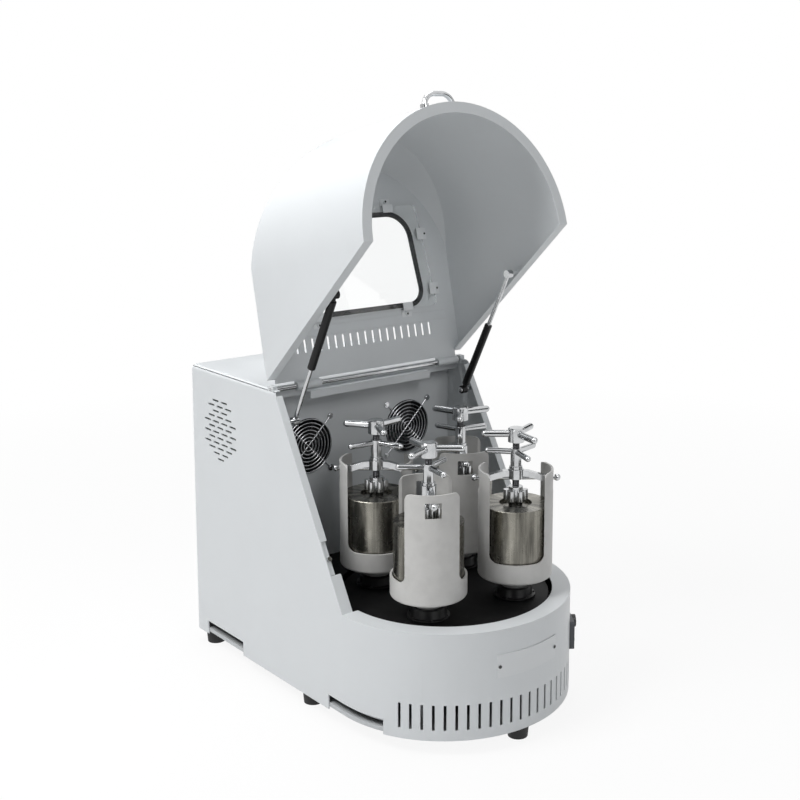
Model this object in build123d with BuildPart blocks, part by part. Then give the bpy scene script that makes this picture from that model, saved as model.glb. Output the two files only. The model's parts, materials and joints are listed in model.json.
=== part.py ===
"""Planetary ball mill: four jar stations on a turntable under a hinged lid.

Millimetres, +Z up, the bench at z = 0 and the drum's front towards -Y.
Heights are above the bench. Other places are measured from the drum's axis,
which stands DRUM_Y behind the middle of the machine.
"""
import os
from math import cos, hypot, pi, radians, sin, sqrt, tan

from build123d import *

# ---- casing: a box with a half-round front, cut down by a slope under the lid
DRUM_R = 235.0              # outside radius of the front, and half the width
BODY_REAR = 530.0           # rear wall, behind the drum's axis
BODY_BOTTOM = 28.0
BODY_TOP = 588.0
RIM_Z = 222.0               # top of the drum's rim
SLOPE_TOP_Y = 212.0         # where the slope meets the top of the body
WALL = 2.5
CORNER_R = 15.0             # upright rear corners
ROOF_EDGE_R = 10.0
RIM_W = 34.0                # from the drum's side to the rim's opening
RIM_T = 3.0
FLANGE_W = 12.0             # slope flange on each side wall
FLANGE_T = 2.5
EAR_W = 20.0                # wider flange at the foot of the slope
EAR_TOP_Z = 282.0
FLANGE_END_Z = 337.0
ROOF_FRONT_Y = 242.0        # front edge of the roof, behind the hinge
LIP_DROP = 24.0             # folded edge under the hinge rod
LIP_Z = 570.0
LIP_INSET = 90.0            # from the casing's side to the lip's end
REAR_NOTCH = (342.0, 479.0)
FRONT_NOTCH_Y = 46.0
NOTCH_H = 28.0
NOTCH_END_DEG = 66.7        # from straight ahead, round the drum

# ---- openings in the casing
SLOT_COUNT = 25
SLOT_STEP_DEG = 4.93
SLOT_W = 5.0
SLOT_H = 46.0
SLOT_Z = 47.0
VENT_Y = 412.0
VENT_Z = 471.0
VENT_R = 64.0
VENT_ROWS = 12
VENT_ROW_STEP = 10.7
VENT_SLOT = (24.0, 4.0)
VENT_SLOT_STEP = 32.0

# ---- fits and clearances
SEAT_GAP = 0.3              # between pieces that only stand beside each other
RUN_FIT = 0.05              # radial, shaft in bore
LOOSE_FIT = 0.3             # radial, a hand-moved pin in its hole
LID_GAP = 3.0               # between the closed lid and the casing

# ---- base frame and feet
FOOT_R = 21.0
FOOT_BOTTOM_R = 18.0
PLATE_Z = 32.0
PLATE_T = 8.0
FOOT_INSET = 29.0           # from the casing's side
FOOT_REAR_Y = 498.0
FOOT_MID_Y = 138.0
FOOT_FRONT_INSET = 30.0     # from the front
POST_R = 12.0
POST_INSETS = (60.0, 90.0)  # from the tub's inside, across and along

# ---- chamber: the black tub under the rim and the white wall behind the jars
TUB_INSET = 25.0            # from the casing's side to the tub's inside
TUB_WALL = 2.5
TUB_FLOOR_Z = 110.0
TUB_FLOOR_T = 8.0
BACK_WALL_Y = 273.0
BACK_WALL_T = 2.5

# ---- cooling fans in the back wall
FAN_X = 122.0
FAN_Z = 451.0
FAN_SIZE = 120.0
FAN_DEPTH = 38.0
FAN_BORE_R = 57.0
FAN_HOLE_PITCH = 105.0
FAN_HUB_R = 20.0
FAN_BLADE_R = 55.0
FAN_BLADES = 7
GUARD_WIRE_R = 1.2          # rings
GUARD_BAR_R = 1.5           # crossed wires that carry the rings
GUARD_STEP = 1.0            # rings before the crossed wires
GUARD_RINGS = 7
GUARD_RING_STEP = 7.2
GUARD_INNER_R = 10.0
GUARD_EAR_R = 6.0
GUARD_EAR_T = 2.0
FAN_SCREW_R = 2.0
FAN_HEAD_R = 3.5

# ---- jar stations
STATION_COUNT = 4
STATION_START_DEG = 127.7   # rear left station
WALL_TURNS = (139.0, 58.0, 141.0, 58.0)        # where each sleeve's walls stand
HANDLE_TURNS = (127.0, -39.0, -99.0, -12.0)    # first spoke of each handle
NUT_TURNS = (172.0, 20.0, 131.0, 108.0)        # first spoke of each lock nut
SLEEVE_R = 69.0
SLEEVE_WALL = 4.0
SLEEVE_Z = 254.0            # underside of the sleeve
SLEEVE_FLOOR_T = 5.0
SLEEVE_RING_H = 38.0
SLEEVE_TOP = 455.0
SLEEVE_TOP_R = 12.0         # corners of the two walls
SLEEVE_FOOT_R = 5.0
OPENING_DEG = 92.0          # how far round each of the two openings reaches
OPENING_CORNER_R = 14.0
HUB_R = 23.5
SPINDLE_R = 12.5
SPINDLE_END = 6.0           # below the planet gear
JAR_GAP = 2.0               # jar inside its sleeve
JAR_WALL = 6.0
JAR_TOP = 380.0
JAR_LID_TOP = 390.0
JAR_LID_SPIGOT = 6.0
JAR_RECESS_R = 30.0
JAR_RECESS_D = 6.0

# ---- clamps
SCREW_R = 6.0
PRESS_HUB_R = 13.0
PRESS_LOBE_R = 6.5
PRESS_LOBES = 6
PRESS_PITCH_R = 16.0
PRESS_LOBE_H = 19.0
PRESS_LOBE_TOP = 415.0
PRESS_TOP = 421.0
YOKE_HUB_R = 14.0
YOKE_Z = 436.0
YOKE_H = 18.0
YOKE_ARM_W = 12.0
YOKE_ARM_H = 11.0
YOKE_ARM_DROP = 10.0        # from the hub's end of an arm to its pin
YOKE_ELBOWS = (24.0, 50.0)  # where an arm starts and ends to fall
YOKE_PIN_R = 4.0
YOKE_PIN_Z = 437.0
YOKE_BALL_R = 6.5
EYE_SIZE = (29.0, 28.0)     # square opening in each sleeve wall, for a yoke pin
NUT_H = 38.0
NUT_R = 10.0
NUT_FLANGE_R = 12.0
NUT_FLANGE_T = 5.0
NUT_SPOKE_R = 5.5
NUT_SPOKE_REACH = 58.0
NUT_SPOKE_DROP = 6.3        # below the lock nut's top
HANDLE_Z = 505.0
HANDLE_H = 26.0
HANDLE_R = 15.0
HANDLE_SPOKE_R = 6.5
HANDLE_SPOKE_REACH = 64.0
HANDLE_SPOKE_RISE = 15.0    # above the handle's underside

# ---- drive
PLANET_TEETH = 53
RING_TEETH = 159            # three times the planets', so each jar turns back twice a turn
RING_WALL = 7.0             # from the tub's inside to the ring's wall, below its teeth
RING_FOOT_CLEAR = 1.125     # from that wall to the foot of the teeth
GEAR_H = 16.0
GEAR_Z = 166.0
TOOTH_SHARE = 0.40          # tooth thickness at the pitch circle, of the pitch
PRESSURE_DEG = 20.0
SHAFT_R = 15.0
SHAFT_BOTTOM = 50.0
SHAFT_CAP_R = 22.0
SHAFT_CAP_T = 5.0
HOUSING_R = 42.0            # barrel in the tub's floor that carries the shaft
HOUSING_BOTTOM = 95.0
HOUSING_TOP = 186.0
TABLE_GAP = 16.0            # round the turntable, inside the tub
TABLE_T = 8.0
TABLE_TOP = 212.0
TABLE_BOSS_R = 26.0
BOSS_DROP = 14.0
PULLEY_Z = 70.0             # middle of the belt
BELT_W = 12.0
BELT_T = 7.0
MAIN_BELT_R = 80.0          # belt's inside radius on the main pulley
MOTOR_BELT_R = 38.0
PULLEY_RIM = 6.0            # rim beyond the belt's inside
PULLEY_CHEEK = 4.0
MOTOR_Y = 400.0
MOTOR_R = 72.0
MOTOR_H = 190.0
MOTOR_SHAFT_R = 12.0
BRIDGE_Z = 92.0
BRIDGE_T = 8.0
BRIDGE_X = 110.0

# ---- lid
LID_T = 2.5
LID_TOP = 590.0
HOOD_SHOULDER = 45.0        # from the front to the flat top, across the domed shoulder
HOOD_WALL_Z = 500.0         # where the shoulder meets the front wall
HOOD_DOME_Y = 50.0          # middle of the dome that shapes the shoulder
LID_FLANGE_W = 17.0
LID_FLANGE_T = 2.5
LID_BACK_Y = 218.0          # rear edge of the top plate, before the rod
LID_BACK_INSET = 17.0       # from the lid's side
HINGE_Y = 228.0
HINGE_Z = 586.0
LID_OPEN_DEG = 103.0
ROD_R = 5.0
LUG_R = 8.0
LUG_INSET = 59.0            # left lug, from the lid's side
LUG_WIDTHS = (54.0, 52.0)
ROD_BLOCK_T = 10.0
WINDOW_REAR_Y = 100.0
WINDOW_FRONT_Y = -80.0
WINDOW_INSETS = (85.0, 102.0)                  # from the lid's side, rear and front
WINDOW_REAR_R = 28.0
WINDOW_FRONT_R = 52.0
PANE_REAR_Y = 110.0
PANE_FRONT_Y = -98.0
PANE_INSETS = (51.0, 75.0)  # from the lid's side, rear and front
PANE_R = 12.0
PANE_T = 4.0
GASKET_IN = 2.0             # how far the gasket shows inside the window
GASKET_W = 10.0
GASKET_T = 3.0
LID_SLOTS = 19
LID_SLOT_STEP = 17.8
LID_SLOT = (5.5, 26.0)
LID_SLOT_Y = 156.0
CLIP_SIDE_YS = (-38.0, 76.0)
CLIP_FRONT_X = 90.0
CLIP_REAR_X = 107.0
CLIP_W = 24.0
CLIP_T = 2.0
CLIP_TONGUE = 12.0          # over the pane
CLIP_FOOT = 17.0            # on the lid, beside the pane
CLIP_CLEAR = 2.5            # from the pane's edge to a clip's riser
CLIP_SCREW_R = 2.0
BOW_SPAN = 66.0             # between the legs of the handle
BOW_REACH = 28.0
BOW_R = 5.0
BOW_BEND_R = 24.0
BOW_Z = 266.0

# ---- gas struts, one each side
STRUT_INSET = 30.0          # from the casing's side
STRUT_LOW_Y = 190.0
STRUT_LOW_Z = 531.0
STRUT_UP_Y = 73.0           # upper ball with the lid closed
STRUT_UP_Z = 374.0
STRUT_TUBE_R = 7.5
STRUT_TUBE_L = 150.0
STRUT_NECK_L = 14.0         # from a tube's end to its pivot
STRUT_NECK_R = 4.5
STRUT_BORE_R = 5.5
STRUT_GLAND_L = 8.0
STRUT_ROD_R = 4.0
STRUT_PISTON_L = 6.0
STRUT_ENGAGED = 30.0        # rod inside the tube with the lid open
STRUT_EYE_R = 8.0
STRUT_EYE_W = 12.0
STUD_R = 4.0
STUD_HEAD_R = 6.0
STUD_HEAD_T = 3.0
STUD_BASE_R = 6.5
BUMPER_Z = 307.0
BUMPER_R = 4.5

# ---- front panel, access plate and inlet
PLATE_DEG = 34.4
PLATE_LOW = 135.0
PLATE_HIGH = 177.0
PLATE_SCREW_DEG = 15.9
PLATE_SCREW_R = 2.0
COVER_T = 1.5
SCREW_HEAD_R = 3.5
SCREW_HEAD_H = 2.0
PANEL_DEG = 56.0
PANEL_SIZE = (92.0, 54.0)
PANEL_Z = 127.0
PANEL_PROUD = 5.0
PANEL_LAP = 4.0             # over the edge of its opening
KNOB_R = 12.0
KNOB_H = 15.0
KNOB_STEM_R = 3.0
KNOB_PLACE = (26.0, 0.0)
BUTTON_R = 6.0
BUTTON_PROUD = 4.0
BUTTON_TRAVEL = 1.5
START_PLACE = (-22.0, -15.0)
STOP_PLACE = (-2.0, -15.0)
INLET_SIZE = (30.0, 48.0)
INLET_INSET = 85.0          # from the casing's side
INLET_Z = 110.0
INLET_PROUD = 2.5
INLET_LAP = 3.0
INLET_DEPTH = 22.0
INLET_SOCKET = (24.0, 17.0)
INLET_PIN = (2.0, 6.0)

# ---- worked out from the sizes above
DRUM_Y = -(BODY_REAR + INLET_PROUD - DRUM_R - COVER_T) / 2
RIM_OPENING_R = DRUM_R - RIM_W
LIP_X = DRUM_R - LIP_INSET
TUB_R = DRUM_R - TUB_INSET
TABLE_R = TUB_R - TABLE_GAP
RING_FOOT_R = TUB_R - RING_WALL
GEAR_MODULE = (RING_FOOT_R - RING_FOOT_CLEAR) / (RING_TEETH / 2 + 1.25)
STATION_R = GEAR_MODULE * (RING_TEETH - PLANET_TEETH) / 2      # station axis from the drum's
FOOT_X = DRUM_R - FOOT_INSET
FOOT_FRONT_Y = FOOT_FRONT_INSET - DRUM_R
POST_X = TUB_R - POST_INSETS[0]
POST_Y = TUB_R - POST_INSETS[1]
STRUT_X = DRUM_R - STRUT_INSET
HOOD_FLAT_Y = HOOD_SHOULDER - DRUM_R
LID_BACK_X = DRUM_R - LID_BACK_INSET
LUG_LEFT = LUG_INSET - DRUM_R
LUG_SPANS = ((LUG_LEFT, LUG_LEFT + LUG_WIDTHS[0]), (LID_BACK_X - LUG_WIDTHS[1], LID_BACK_X))
WINDOW_REAR_X = DRUM_R - WINDOW_INSETS[0]
WINDOW_FRONT_X = DRUM_R - WINDOW_INSETS[1]
PANE_REAR_X = DRUM_R - PANE_INSETS[0]
PANE_FRONT_X = DRUM_R - PANE_INSETS[1]
INLET_X = DRUM_R - INLET_INSET
SLOPE_RUN = SLOPE_TOP_Y
SLOPE_RISE = BODY_TOP - RIM_Z
SLOPE_L = hypot(SLOPE_RUN, SLOPE_RISE)
INNER_R = DRUM_R - WALL


def level(z, x=0.0, y=0.0, turn=0.0):
    """A horizontal plane at height z, x and y from the drum's axis, turned about it."""
    origin = (x, DRUM_Y + y, z)
    return Plane(origin=origin, x_dir=(cos(radians(turn)), sin(radians(turn)), 0), z_dir=(0, 0, 1))


def side(x=0.0):
    """An upright plane across X: its own x runs towards the rear and its y up."""
    return Plane(origin=(x, DRUM_Y, 0), x_dir=(0, 1, 0), z_dir=(1, 0, 0))


def facing(y):
    """An upright plane across Y that looks to the rear: x to the left, y up."""
    return Plane(origin=(0, DRUM_Y + y, 0), x_dir=(-1, 0, 0), z_dir=(0, 1, 0))


def round_drum(angle, radius, z):
    """A plane tangent to the drum, angle degrees right of straight ahead, facing out."""
    a = radians(angle)
    origin = (radius * sin(a), DRUM_Y - radius * cos(a), z)
    return Plane(origin=origin, x_dir=(cos(a), sin(a), 0), z_dir=(sin(a), -cos(a), 0))


def slope_y(z):
    """Where the slope stands at height z."""
    return SLOPE_TOP_Y - (BODY_TOP - z) * SLOPE_RUN / SLOPE_RISE


def add_outline(radius, rear, corner=0.0):
    """Adds the casing's plan to the sketch in hand: half round in front, square behind."""
    with BuildLine() as outline:
        Polyline((-radius, 0), (-radius, rear), (radius, rear), (radius, 0))
        ThreePointArc((radius, 0), (0, -radius), (-radius, 0))
    add(outline.line)
    plan = make_face()
    if corner > 0:
        fillet(plan.vertices().group_by(Axis.Y)[-1], corner)


def add_window(grow=0.0):
    """Adds the window's outline to the sketch in hand, grown all round."""
    rear_x = WINDOW_REAR_X + grow
    front_x = WINDOW_FRONT_X + grow
    rear_y = WINDOW_REAR_Y + grow
    front_y = WINDOW_FRONT_Y - grow
    rear_r = WINDOW_REAR_R + grow
    front_r = WINDOW_FRONT_R + grow
    with BuildLine() as outline:
        FilletPolyline(
            (-rear_x, rear_y),
            (rear_x, rear_y),
            (front_x, front_y),
            (-front_x, front_y),
            radius=[rear_r, rear_r, front_r, front_r],
            close=True,
        )
    add(outline.line)
    make_face()


def add_gear_outline(teeth, first, inward=False):
    """Adds a toothed outline about the sketch's middle, with a tooth centred at first degrees."""
    pitch_r = GEAR_MODULE * teeth / 2
    side_way = -1 if inward else 1
    tip_r = pitch_r + side_way * GEAR_MODULE
    root_r = pitch_r - side_way * 1.25 * GEAR_MODULE
    half = TOOTH_SHARE * pi / teeth
    half_tip = half - tan(radians(PRESSURE_DEG)) * GEAR_MODULE / tip_r
    half_root = half + tan(radians(PRESSURE_DEG)) * 1.25 * GEAR_MODULE / root_r
    points = []
    for tooth in range(teeth):
        middle = radians(first) + 2 * pi * tooth / teeth
        for radius, angle in (
            (root_r, middle - half_root),
            (tip_r, middle - half_tip),
            (tip_r, middle + half_tip),
            (root_r, middle + half_root),
        ):
            points.append((radius * cos(angle), radius * sin(angle)))
    with BuildLine() as outline:
        Polyline(*points, close=True)
    add(outline.line)
    make_face(mode=Mode.SUBTRACT if inward else Mode.ADD)


def write(part, name):
    """Labels a finished piece and writes its file."""
    part.label = name
    export_step(part, f"parts/{name}.step")
    print(name, len(part.solids()), round(part.volume))


os.makedirs("parts", exist_ok=True)

# ---------------------------------------------------------------- casing
SLOPE_SKIN = FLANGE_T * SLOPE_L / SLOPE_RISE      # flange thickness, measured level
NOTCH_END_Y = -DRUM_R * cos(radians(NOTCH_END_DEG))
ROD_BLOCK_X = INNER_R - ROD_BLOCK_T
STRIP_SET_BACK = 4.0
STRIP_W = 10.0

with BuildPart() as casing:
    with BuildSketch(level(BODY_BOTTOM)):
        add_outline(DRUM_R, BODY_REAR, CORNER_R)
    extrude(amount=BODY_TOP - BODY_BOTTOM)
    with BuildSketch(side()):
        with BuildLine():
            Polyline(
                (slope_y(BODY_TOP + 1), BODY_TOP + 1),
                (0, RIM_Z),
                (-DRUM_R - 1, RIM_Z),
                (-DRUM_R - 1, BODY_TOP + 1),
                close=True,
            )
        make_face()
    extrude(amount=DRUM_R + 1, both=True, mode=Mode.SUBTRACT)
    roof_edges = casing.faces().sort_by(Axis.Z)[-1].edges().sort_by(Axis.Y)[1:]
    fillet(roof_edges, ROOF_EDGE_R)
    # the space behind the drum's axis, open through the slope
    with BuildSketch(level(BODY_BOTTOM)):
        with Locations((0, (BODY_REAR - WALL) / 2)):
            Rectangle(2 * INNER_R, BODY_REAR - WALL)
        corners = [v for v in vertices() if v.Y > 1]
        fillet(corners, CORNER_R - WALL)
    extrude(amount=BODY_TOP - WALL - BODY_BOTTOM, mode=Mode.SUBTRACT)
    # the space inside the drum, under the rim
    with BuildSketch(level(BODY_BOTTOM)):
        Circle(INNER_R)
    extrude(amount=RIM_Z - RIM_T - BODY_BOTTOM, mode=Mode.SUBTRACT)
    with BuildSketch(level(RIM_Z - RIM_T)):
        Circle(RIM_OPENING_R)
    extrude(amount=RIM_T, mode=Mode.SUBTRACT)
    # flanges along both slopes, with a set-back strip for the bumper, and the ears below it
    for sign in (-1, 1):
        for low, high, width, back in (
            (FLANGE_END_Z, BODY_TOP - ROOF_EDGE_R, FLANGE_W, 0.0),
            (EAR_TOP_Z, FLANGE_END_Z, STRIP_W, STRIP_SET_BACK),
            (RIM_Z - RIM_T, EAR_TOP_Z, EAR_W, 0.0),
        ):
            with BuildSketch(side(sign * INNER_R)):
                with BuildLine():
                    Polyline(
                        (slope_y(low) + back, low),
                        (slope_y(low) + back + SLOPE_SKIN, low),
                        (slope_y(high) + back + SLOPE_SKIN, high),
                        (slope_y(high) + back, high),
                        close=True,
                    )
                make_face()
            extrude(amount=-sign * width)
    # the roof stops behind the hinge and folds down, with a lip under the rod
    with BuildSketch(level(BODY_TOP - WALL - 1)):
        with Locations((0, (SLOPE_TOP_Y + ROOF_FRONT_Y) / 2 - 10)):
            Rectangle(2 * ROD_BLOCK_X, ROOF_FRONT_Y - SLOPE_TOP_Y + 20)
    extrude(amount=WALL + 2, mode=Mode.SUBTRACT)
    with BuildSketch(level(BODY_TOP - LIP_DROP)):
        with Locations((0, ROOF_FRONT_Y + WALL / 2)):
            Rectangle(2 * INNER_R, WALL)
    extrude(amount=LIP_DROP - WALL)
    with BuildSketch(side()):
        with BuildLine():
            Polyline(
                (ROOF_FRONT_Y, LIP_Z),
                (HINGE_Y, LIP_Z),
                (HINGE_Y, LIP_Z - LIP_DROP / 2),
                (HINGE_Y - WALL, LIP_Z - LIP_DROP / 2),
                (HINGE_Y - WALL, LIP_Z + WALL),
                (ROOF_FRONT_Y, LIP_Z + WALL),
                close=True,
            )
        make_face()
    extrude(amount=LIP_X, both=True)
    for sign in (-1, 1):
        with BuildSketch(side(sign * INNER_R)):
            with Locations((HINGE_Y, HINGE_Z)):
                Rectangle(2 * LUG_R, 2 * LUG_R)
        extrude(amount=-sign * ROD_BLOCK_T)
    with BuildSketch(side()):
        with Locations((HINGE_Y, HINGE_Z)):
            Circle(ROD_R + RUN_FIT)
    extrude(amount=INNER_R, both=True, mode=Mode.SUBTRACT)
    # notches in the bottom edge
    for near, far in (REAR_NOTCH, (NOTCH_END_Y, FRONT_NOTCH_Y)):
        with BuildSketch(level(BODY_BOTTOM)):
            for sign in (-1, 1):
                with Locations((sign * DRUM_R, (near + far) / 2)):
                    Rectangle(DRUM_R, far - near)
        extrude(amount=NOTCH_H, mode=Mode.SUBTRACT)
    # cooling slots round the front, and vents in both sides
    half_span = SLOT_STEP_DEG * (SLOT_COUNT - 1) / 2
    for n in range(SLOT_COUNT):
        plane = round_drum(n * SLOT_STEP_DEG - half_span, DRUM_R + 1, SLOT_Z + SLOT_H / 2)
        with BuildSketch(plane):
            Rectangle(SLOT_W, SLOT_H)
        extrude(amount=-2 * WALL, mode=Mode.SUBTRACT)
    with BuildSketch(side()):
        for row in range(VENT_ROWS):
            z = (row - (VENT_ROWS - 1) / 2) * VENT_ROW_STEP
            reach = sqrt(VENT_R**2 - z**2) - VENT_SLOT[0] / 4
            shift = VENT_SLOT_STEP / 2 if row % 2 else 0.0
            for n in range(-3, 4):
                y = n * VENT_SLOT_STEP + shift
                if abs(y) <= reach:
                    with Locations((VENT_Y + y, VENT_Z + z)):
                        SlotOverall(*VENT_SLOT)
    extrude(amount=DRUM_R + 1, both=True, mode=Mode.SUBTRACT)
    # openings behind the access plate, the control panel and the inlet
    with BuildSketch(round_drum(0, DRUM_R + 1, (PLATE_LOW + PLATE_HIGH) / 2)):
        Rectangle(2 * DRUM_R * sin(radians(PLATE_DEG / 2 - 4)), PLATE_HIGH - PLATE_LOW - 12)
    extrude(amount=-20, mode=Mode.SUBTRACT)
    for sign in (-1, 1):
        plane = round_drum(sign * PLATE_SCREW_DEG, DRUM_R + 1, (PLATE_LOW + PLATE_HIGH) / 2)
        with BuildSketch(plane):
            Circle(PLATE_SCREW_R + RUN_FIT)
        extrude(amount=-2 * WALL, mode=Mode.SUBTRACT)
    with BuildSketch(round_drum(PANEL_DEG, DRUM_R + 1, PANEL_Z)):
        Rectangle(PANEL_SIZE[0] - 2 * PANEL_LAP, PANEL_SIZE[1] - 2 * PANEL_LAP)
    extrude(amount=-20, mode=Mode.SUBTRACT)
    with BuildSketch(facing(BODY_REAR)):
        with Locations((-INLET_X, INLET_Z)):
            Rectangle(*INLET_SIZE)
    extrude(amount=-2 * WALL, mode=Mode.SUBTRACT)
write(casing.part, "casing")

# ---------------------------------------------------------------- base
FEET = [
    (-FOOT_X, FOOT_REAR_Y),
    (FOOT_X, FOOT_REAR_Y),
    (-FOOT_X, FOOT_MID_Y),
    (FOOT_X, FOOT_MID_Y),
    (0, FOOT_FRONT_Y),
]
BRIDGE_LEG_T = 8.0
BRIDGE_L = 140.0

with BuildPart() as base_frame:
    with BuildSketch(level(PLATE_Z)):
        add_outline(INNER_R - SEAT_GAP, BODY_REAR - WALL - SEAT_GAP, CORNER_R - WALL)
    extrude(amount=PLATE_T)
    with BuildSketch(level(PLATE_Z + PLATE_T)):
        with Locations((-POST_X, -POST_Y), (POST_X, -POST_Y), (-POST_X, POST_Y), (POST_X, POST_Y)):
            Circle(POST_R)
    extrude(amount=TUB_FLOOR_Z - PLATE_Z - PLATE_T)
    with BuildSketch(level(PLATE_Z + PLATE_T)):
        with Locations((-BRIDGE_X, MOTOR_Y), (BRIDGE_X, MOTOR_Y)):
            Rectangle(BRIDGE_LEG_T, BRIDGE_L)
    extrude(amount=BRIDGE_Z - PLATE_Z - PLATE_T)
    with BuildSketch(level(BRIDGE_Z)):
        with Locations((0, MOTOR_Y)):
            Rectangle(2 * BRIDGE_X + BRIDGE_LEG_T, BRIDGE_L)
            Circle(MOTOR_SHAFT_R * 2, mode=Mode.SUBTRACT)
    extrude(amount=BRIDGE_T)
write(base_frame.part, "base_frame")

with BuildPart() as rubber_feet:
    for x, y in FEET:
        with Locations(level(PLATE_Z / 2, x, y)):
            Cone(FOOT_BOTTOM_R, FOOT_R, PLATE_Z)
write(rubber_feet.part, "rubber_feet")

# ---------------------------------------------------------------- chamber
DECK_TOP = RIM_Z - RIM_T - SEAT_GAP

with BuildPart() as chamber_tub:
    with BuildSketch(level(DECK_TOP - TUB_WALL)):
        add_outline(INNER_R - SEAT_GAP, BACK_WALL_Y - SEAT_GAP)
        Circle(RIM_OPENING_R, mode=Mode.SUBTRACT)
    extrude(amount=TUB_WALL)
    with BuildSketch(level(TUB_FLOOR_Z)):
        Circle(TUB_R + TUB_WALL)
        Circle(TUB_R, mode=Mode.SUBTRACT)
    extrude(amount=DECK_TOP - TUB_FLOOR_Z)
    with BuildSketch(level(TUB_FLOOR_Z)):
        Circle(TUB_R)
    extrude(amount=TUB_FLOOR_T)
    with BuildSketch(level(HOUSING_BOTTOM)):
        Circle(HOUSING_R)
    extrude(amount=HOUSING_TOP - HOUSING_BOTTOM)
    with BuildSketch(level(HOUSING_BOTTOM)):
        Circle(SHAFT_R + RUN_FIT)
    extrude(amount=HOUSING_TOP - HOUSING_BOTTOM, mode=Mode.SUBTRACT)
write(chamber_tub.part, "chamber_tub")

FAN_HOLES = [(sx * FAN_HOLE_PITCH / 2, sz * FAN_HOLE_PITCH / 2) for sx in (-1, 1) for sz in (-1, 1)]
FAN_FRONT_Y = BACK_WALL_Y + BACK_WALL_T + SEAT_GAP

with BuildPart() as chamber_back_wall:
    with BuildSketch(facing(BACK_WALL_Y)):
        with Locations((0, (DECK_TOP + SEAT_GAP + BODY_TOP - WALL) / 2)):
            Rectangle(2 * (INNER_R - SEAT_GAP), BODY_TOP - WALL - DECK_TOP - 2 * SEAT_GAP)
        for x in (-FAN_X, FAN_X):
            with Locations((x, FAN_Z)):
                Circle(FAN_BLADE_R, mode=Mode.SUBTRACT)
                with Locations(*FAN_HOLES):
                    Circle(FAN_SCREW_R + RUN_FIT, mode=Mode.SUBTRACT)
    extrude(amount=BACK_WALL_T)
write(chamber_back_wall.part, "chamber_back_wall")

# ---------------------------------------------------------------- fans
HUB_GAP = 2.0
BLADE_T = 2.0
BLADE_TURN = 38.0
FAN_PIN_R = 3.0
BAR_Y = BACK_WALL_Y - SEAT_GAP - GUARD_BAR_R
EAR_Y = BAR_Y - GUARD_EAR_T / 2                    # front of the guards' ears

with BuildPart() as fan_frames:
    for x in (-FAN_X, FAN_X):
        with BuildSketch(facing(FAN_FRONT_Y)):
            with Locations((x, FAN_Z)):
                RectangleRounded(FAN_SIZE, FAN_SIZE, 6)
                Circle(FAN_BORE_R, mode=Mode.SUBTRACT)
                with Locations(*FAN_HOLES):
                    Circle(FAN_SCREW_R + RUN_FIT, mode=Mode.SUBTRACT)
        extrude(amount=FAN_DEPTH)
        with BuildSketch(facing(FAN_FRONT_Y + FAN_DEPTH - 5)):
            with Locations((x, FAN_Z)):
                Circle(FAN_HUB_R)
                with PolarLocations((FAN_HUB_R + FAN_BORE_R) / 2, 4, 45):
                    Rectangle(FAN_BORE_R - FAN_HUB_R + 4, 5)
        extrude(amount=5)
        with BuildSketch(facing(FAN_FRONT_Y + 6)):
            with Locations((x, FAN_Z)):
                Circle(FAN_PIN_R)
        extrude(amount=FAN_DEPTH - 6)
write(fan_frames.part, "fan_frames")

for name, x in (("left_fan_rotor", -FAN_X), ("right_fan_rotor", FAN_X)):
    with BuildPart() as rotor:
        with BuildSketch(facing(FAN_FRONT_Y + HUB_GAP)):
            with Locations((-x, FAN_Z)):
                Circle(FAN_HUB_R)
        extrude(amount=FAN_DEPTH - 5 - HUB_GAP - SEAT_GAP)
        for n in range(FAN_BLADES):
            angle = radians(360 * n / FAN_BLADES)
            out = (-cos(angle), 0, sin(angle))
            start = FAN_HUB_R - 1.5
            origin = (
                x + out[0] * start,
                DRUM_Y + FAN_FRONT_Y + FAN_DEPTH / 2 - 2,
                FAN_Z + out[2] * start,
            )
            with BuildSketch(Plane(origin=origin, x_dir=(0, 1, 0), z_dir=out)):
                with Locations(Location((0, 0, 0), (0, 0, BLADE_TURN))):
                    Rectangle(FAN_DEPTH - 12, BLADE_T)
            extrude(amount=FAN_BLADE_R - start)
        with BuildSketch(facing(FAN_FRONT_Y + 5)):
            with Locations((-x, FAN_Z)):
                Circle(FAN_PIN_R + RUN_FIT)
        extrude(amount=FAN_DEPTH, mode=Mode.SUBTRACT)
    write(rotor.part, name)

with BuildPart() as fan_guards:
    for x in (-FAN_X, FAN_X):
        for turn in (45, 135):
            reach = FAN_HOLE_PITCH * sqrt(2) / 2 - (GUARD_EAR_R + FAN_HEAD_R) / 2
            a = radians(turn)
            start = (x - reach * cos(a), DRUM_Y + BAR_Y, FAN_Z - reach * sin(a))
            with BuildSketch(Plane(origin=start, x_dir=(0, 1, 0), z_dir=(cos(a), 0, sin(a)))):
                Circle(GUARD_BAR_R)
            extrude(amount=2 * reach)
        for n in range(GUARD_RINGS):
            middle = (x, DRUM_Y + BAR_Y - GUARD_STEP, FAN_Z)
            with Locations(Plane(origin=middle, x_dir=(1, 0, 0), z_dir=(0, 1, 0))):
                Torus(GUARD_INNER_R + n * GUARD_RING_STEP, GUARD_WIRE_R)
        for hole_x, hole_z in FAN_HOLES:
            with BuildSketch(facing(EAR_Y)):
                with Locations((x + hole_x, FAN_Z + hole_z)):
                    Circle(GUARD_EAR_R)
                    Circle(FAN_SCREW_R + RUN_FIT, mode=Mode.SUBTRACT)
            extrude(amount=GUARD_EAR_T)
write(fan_guards.part, "fan_guards")

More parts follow.
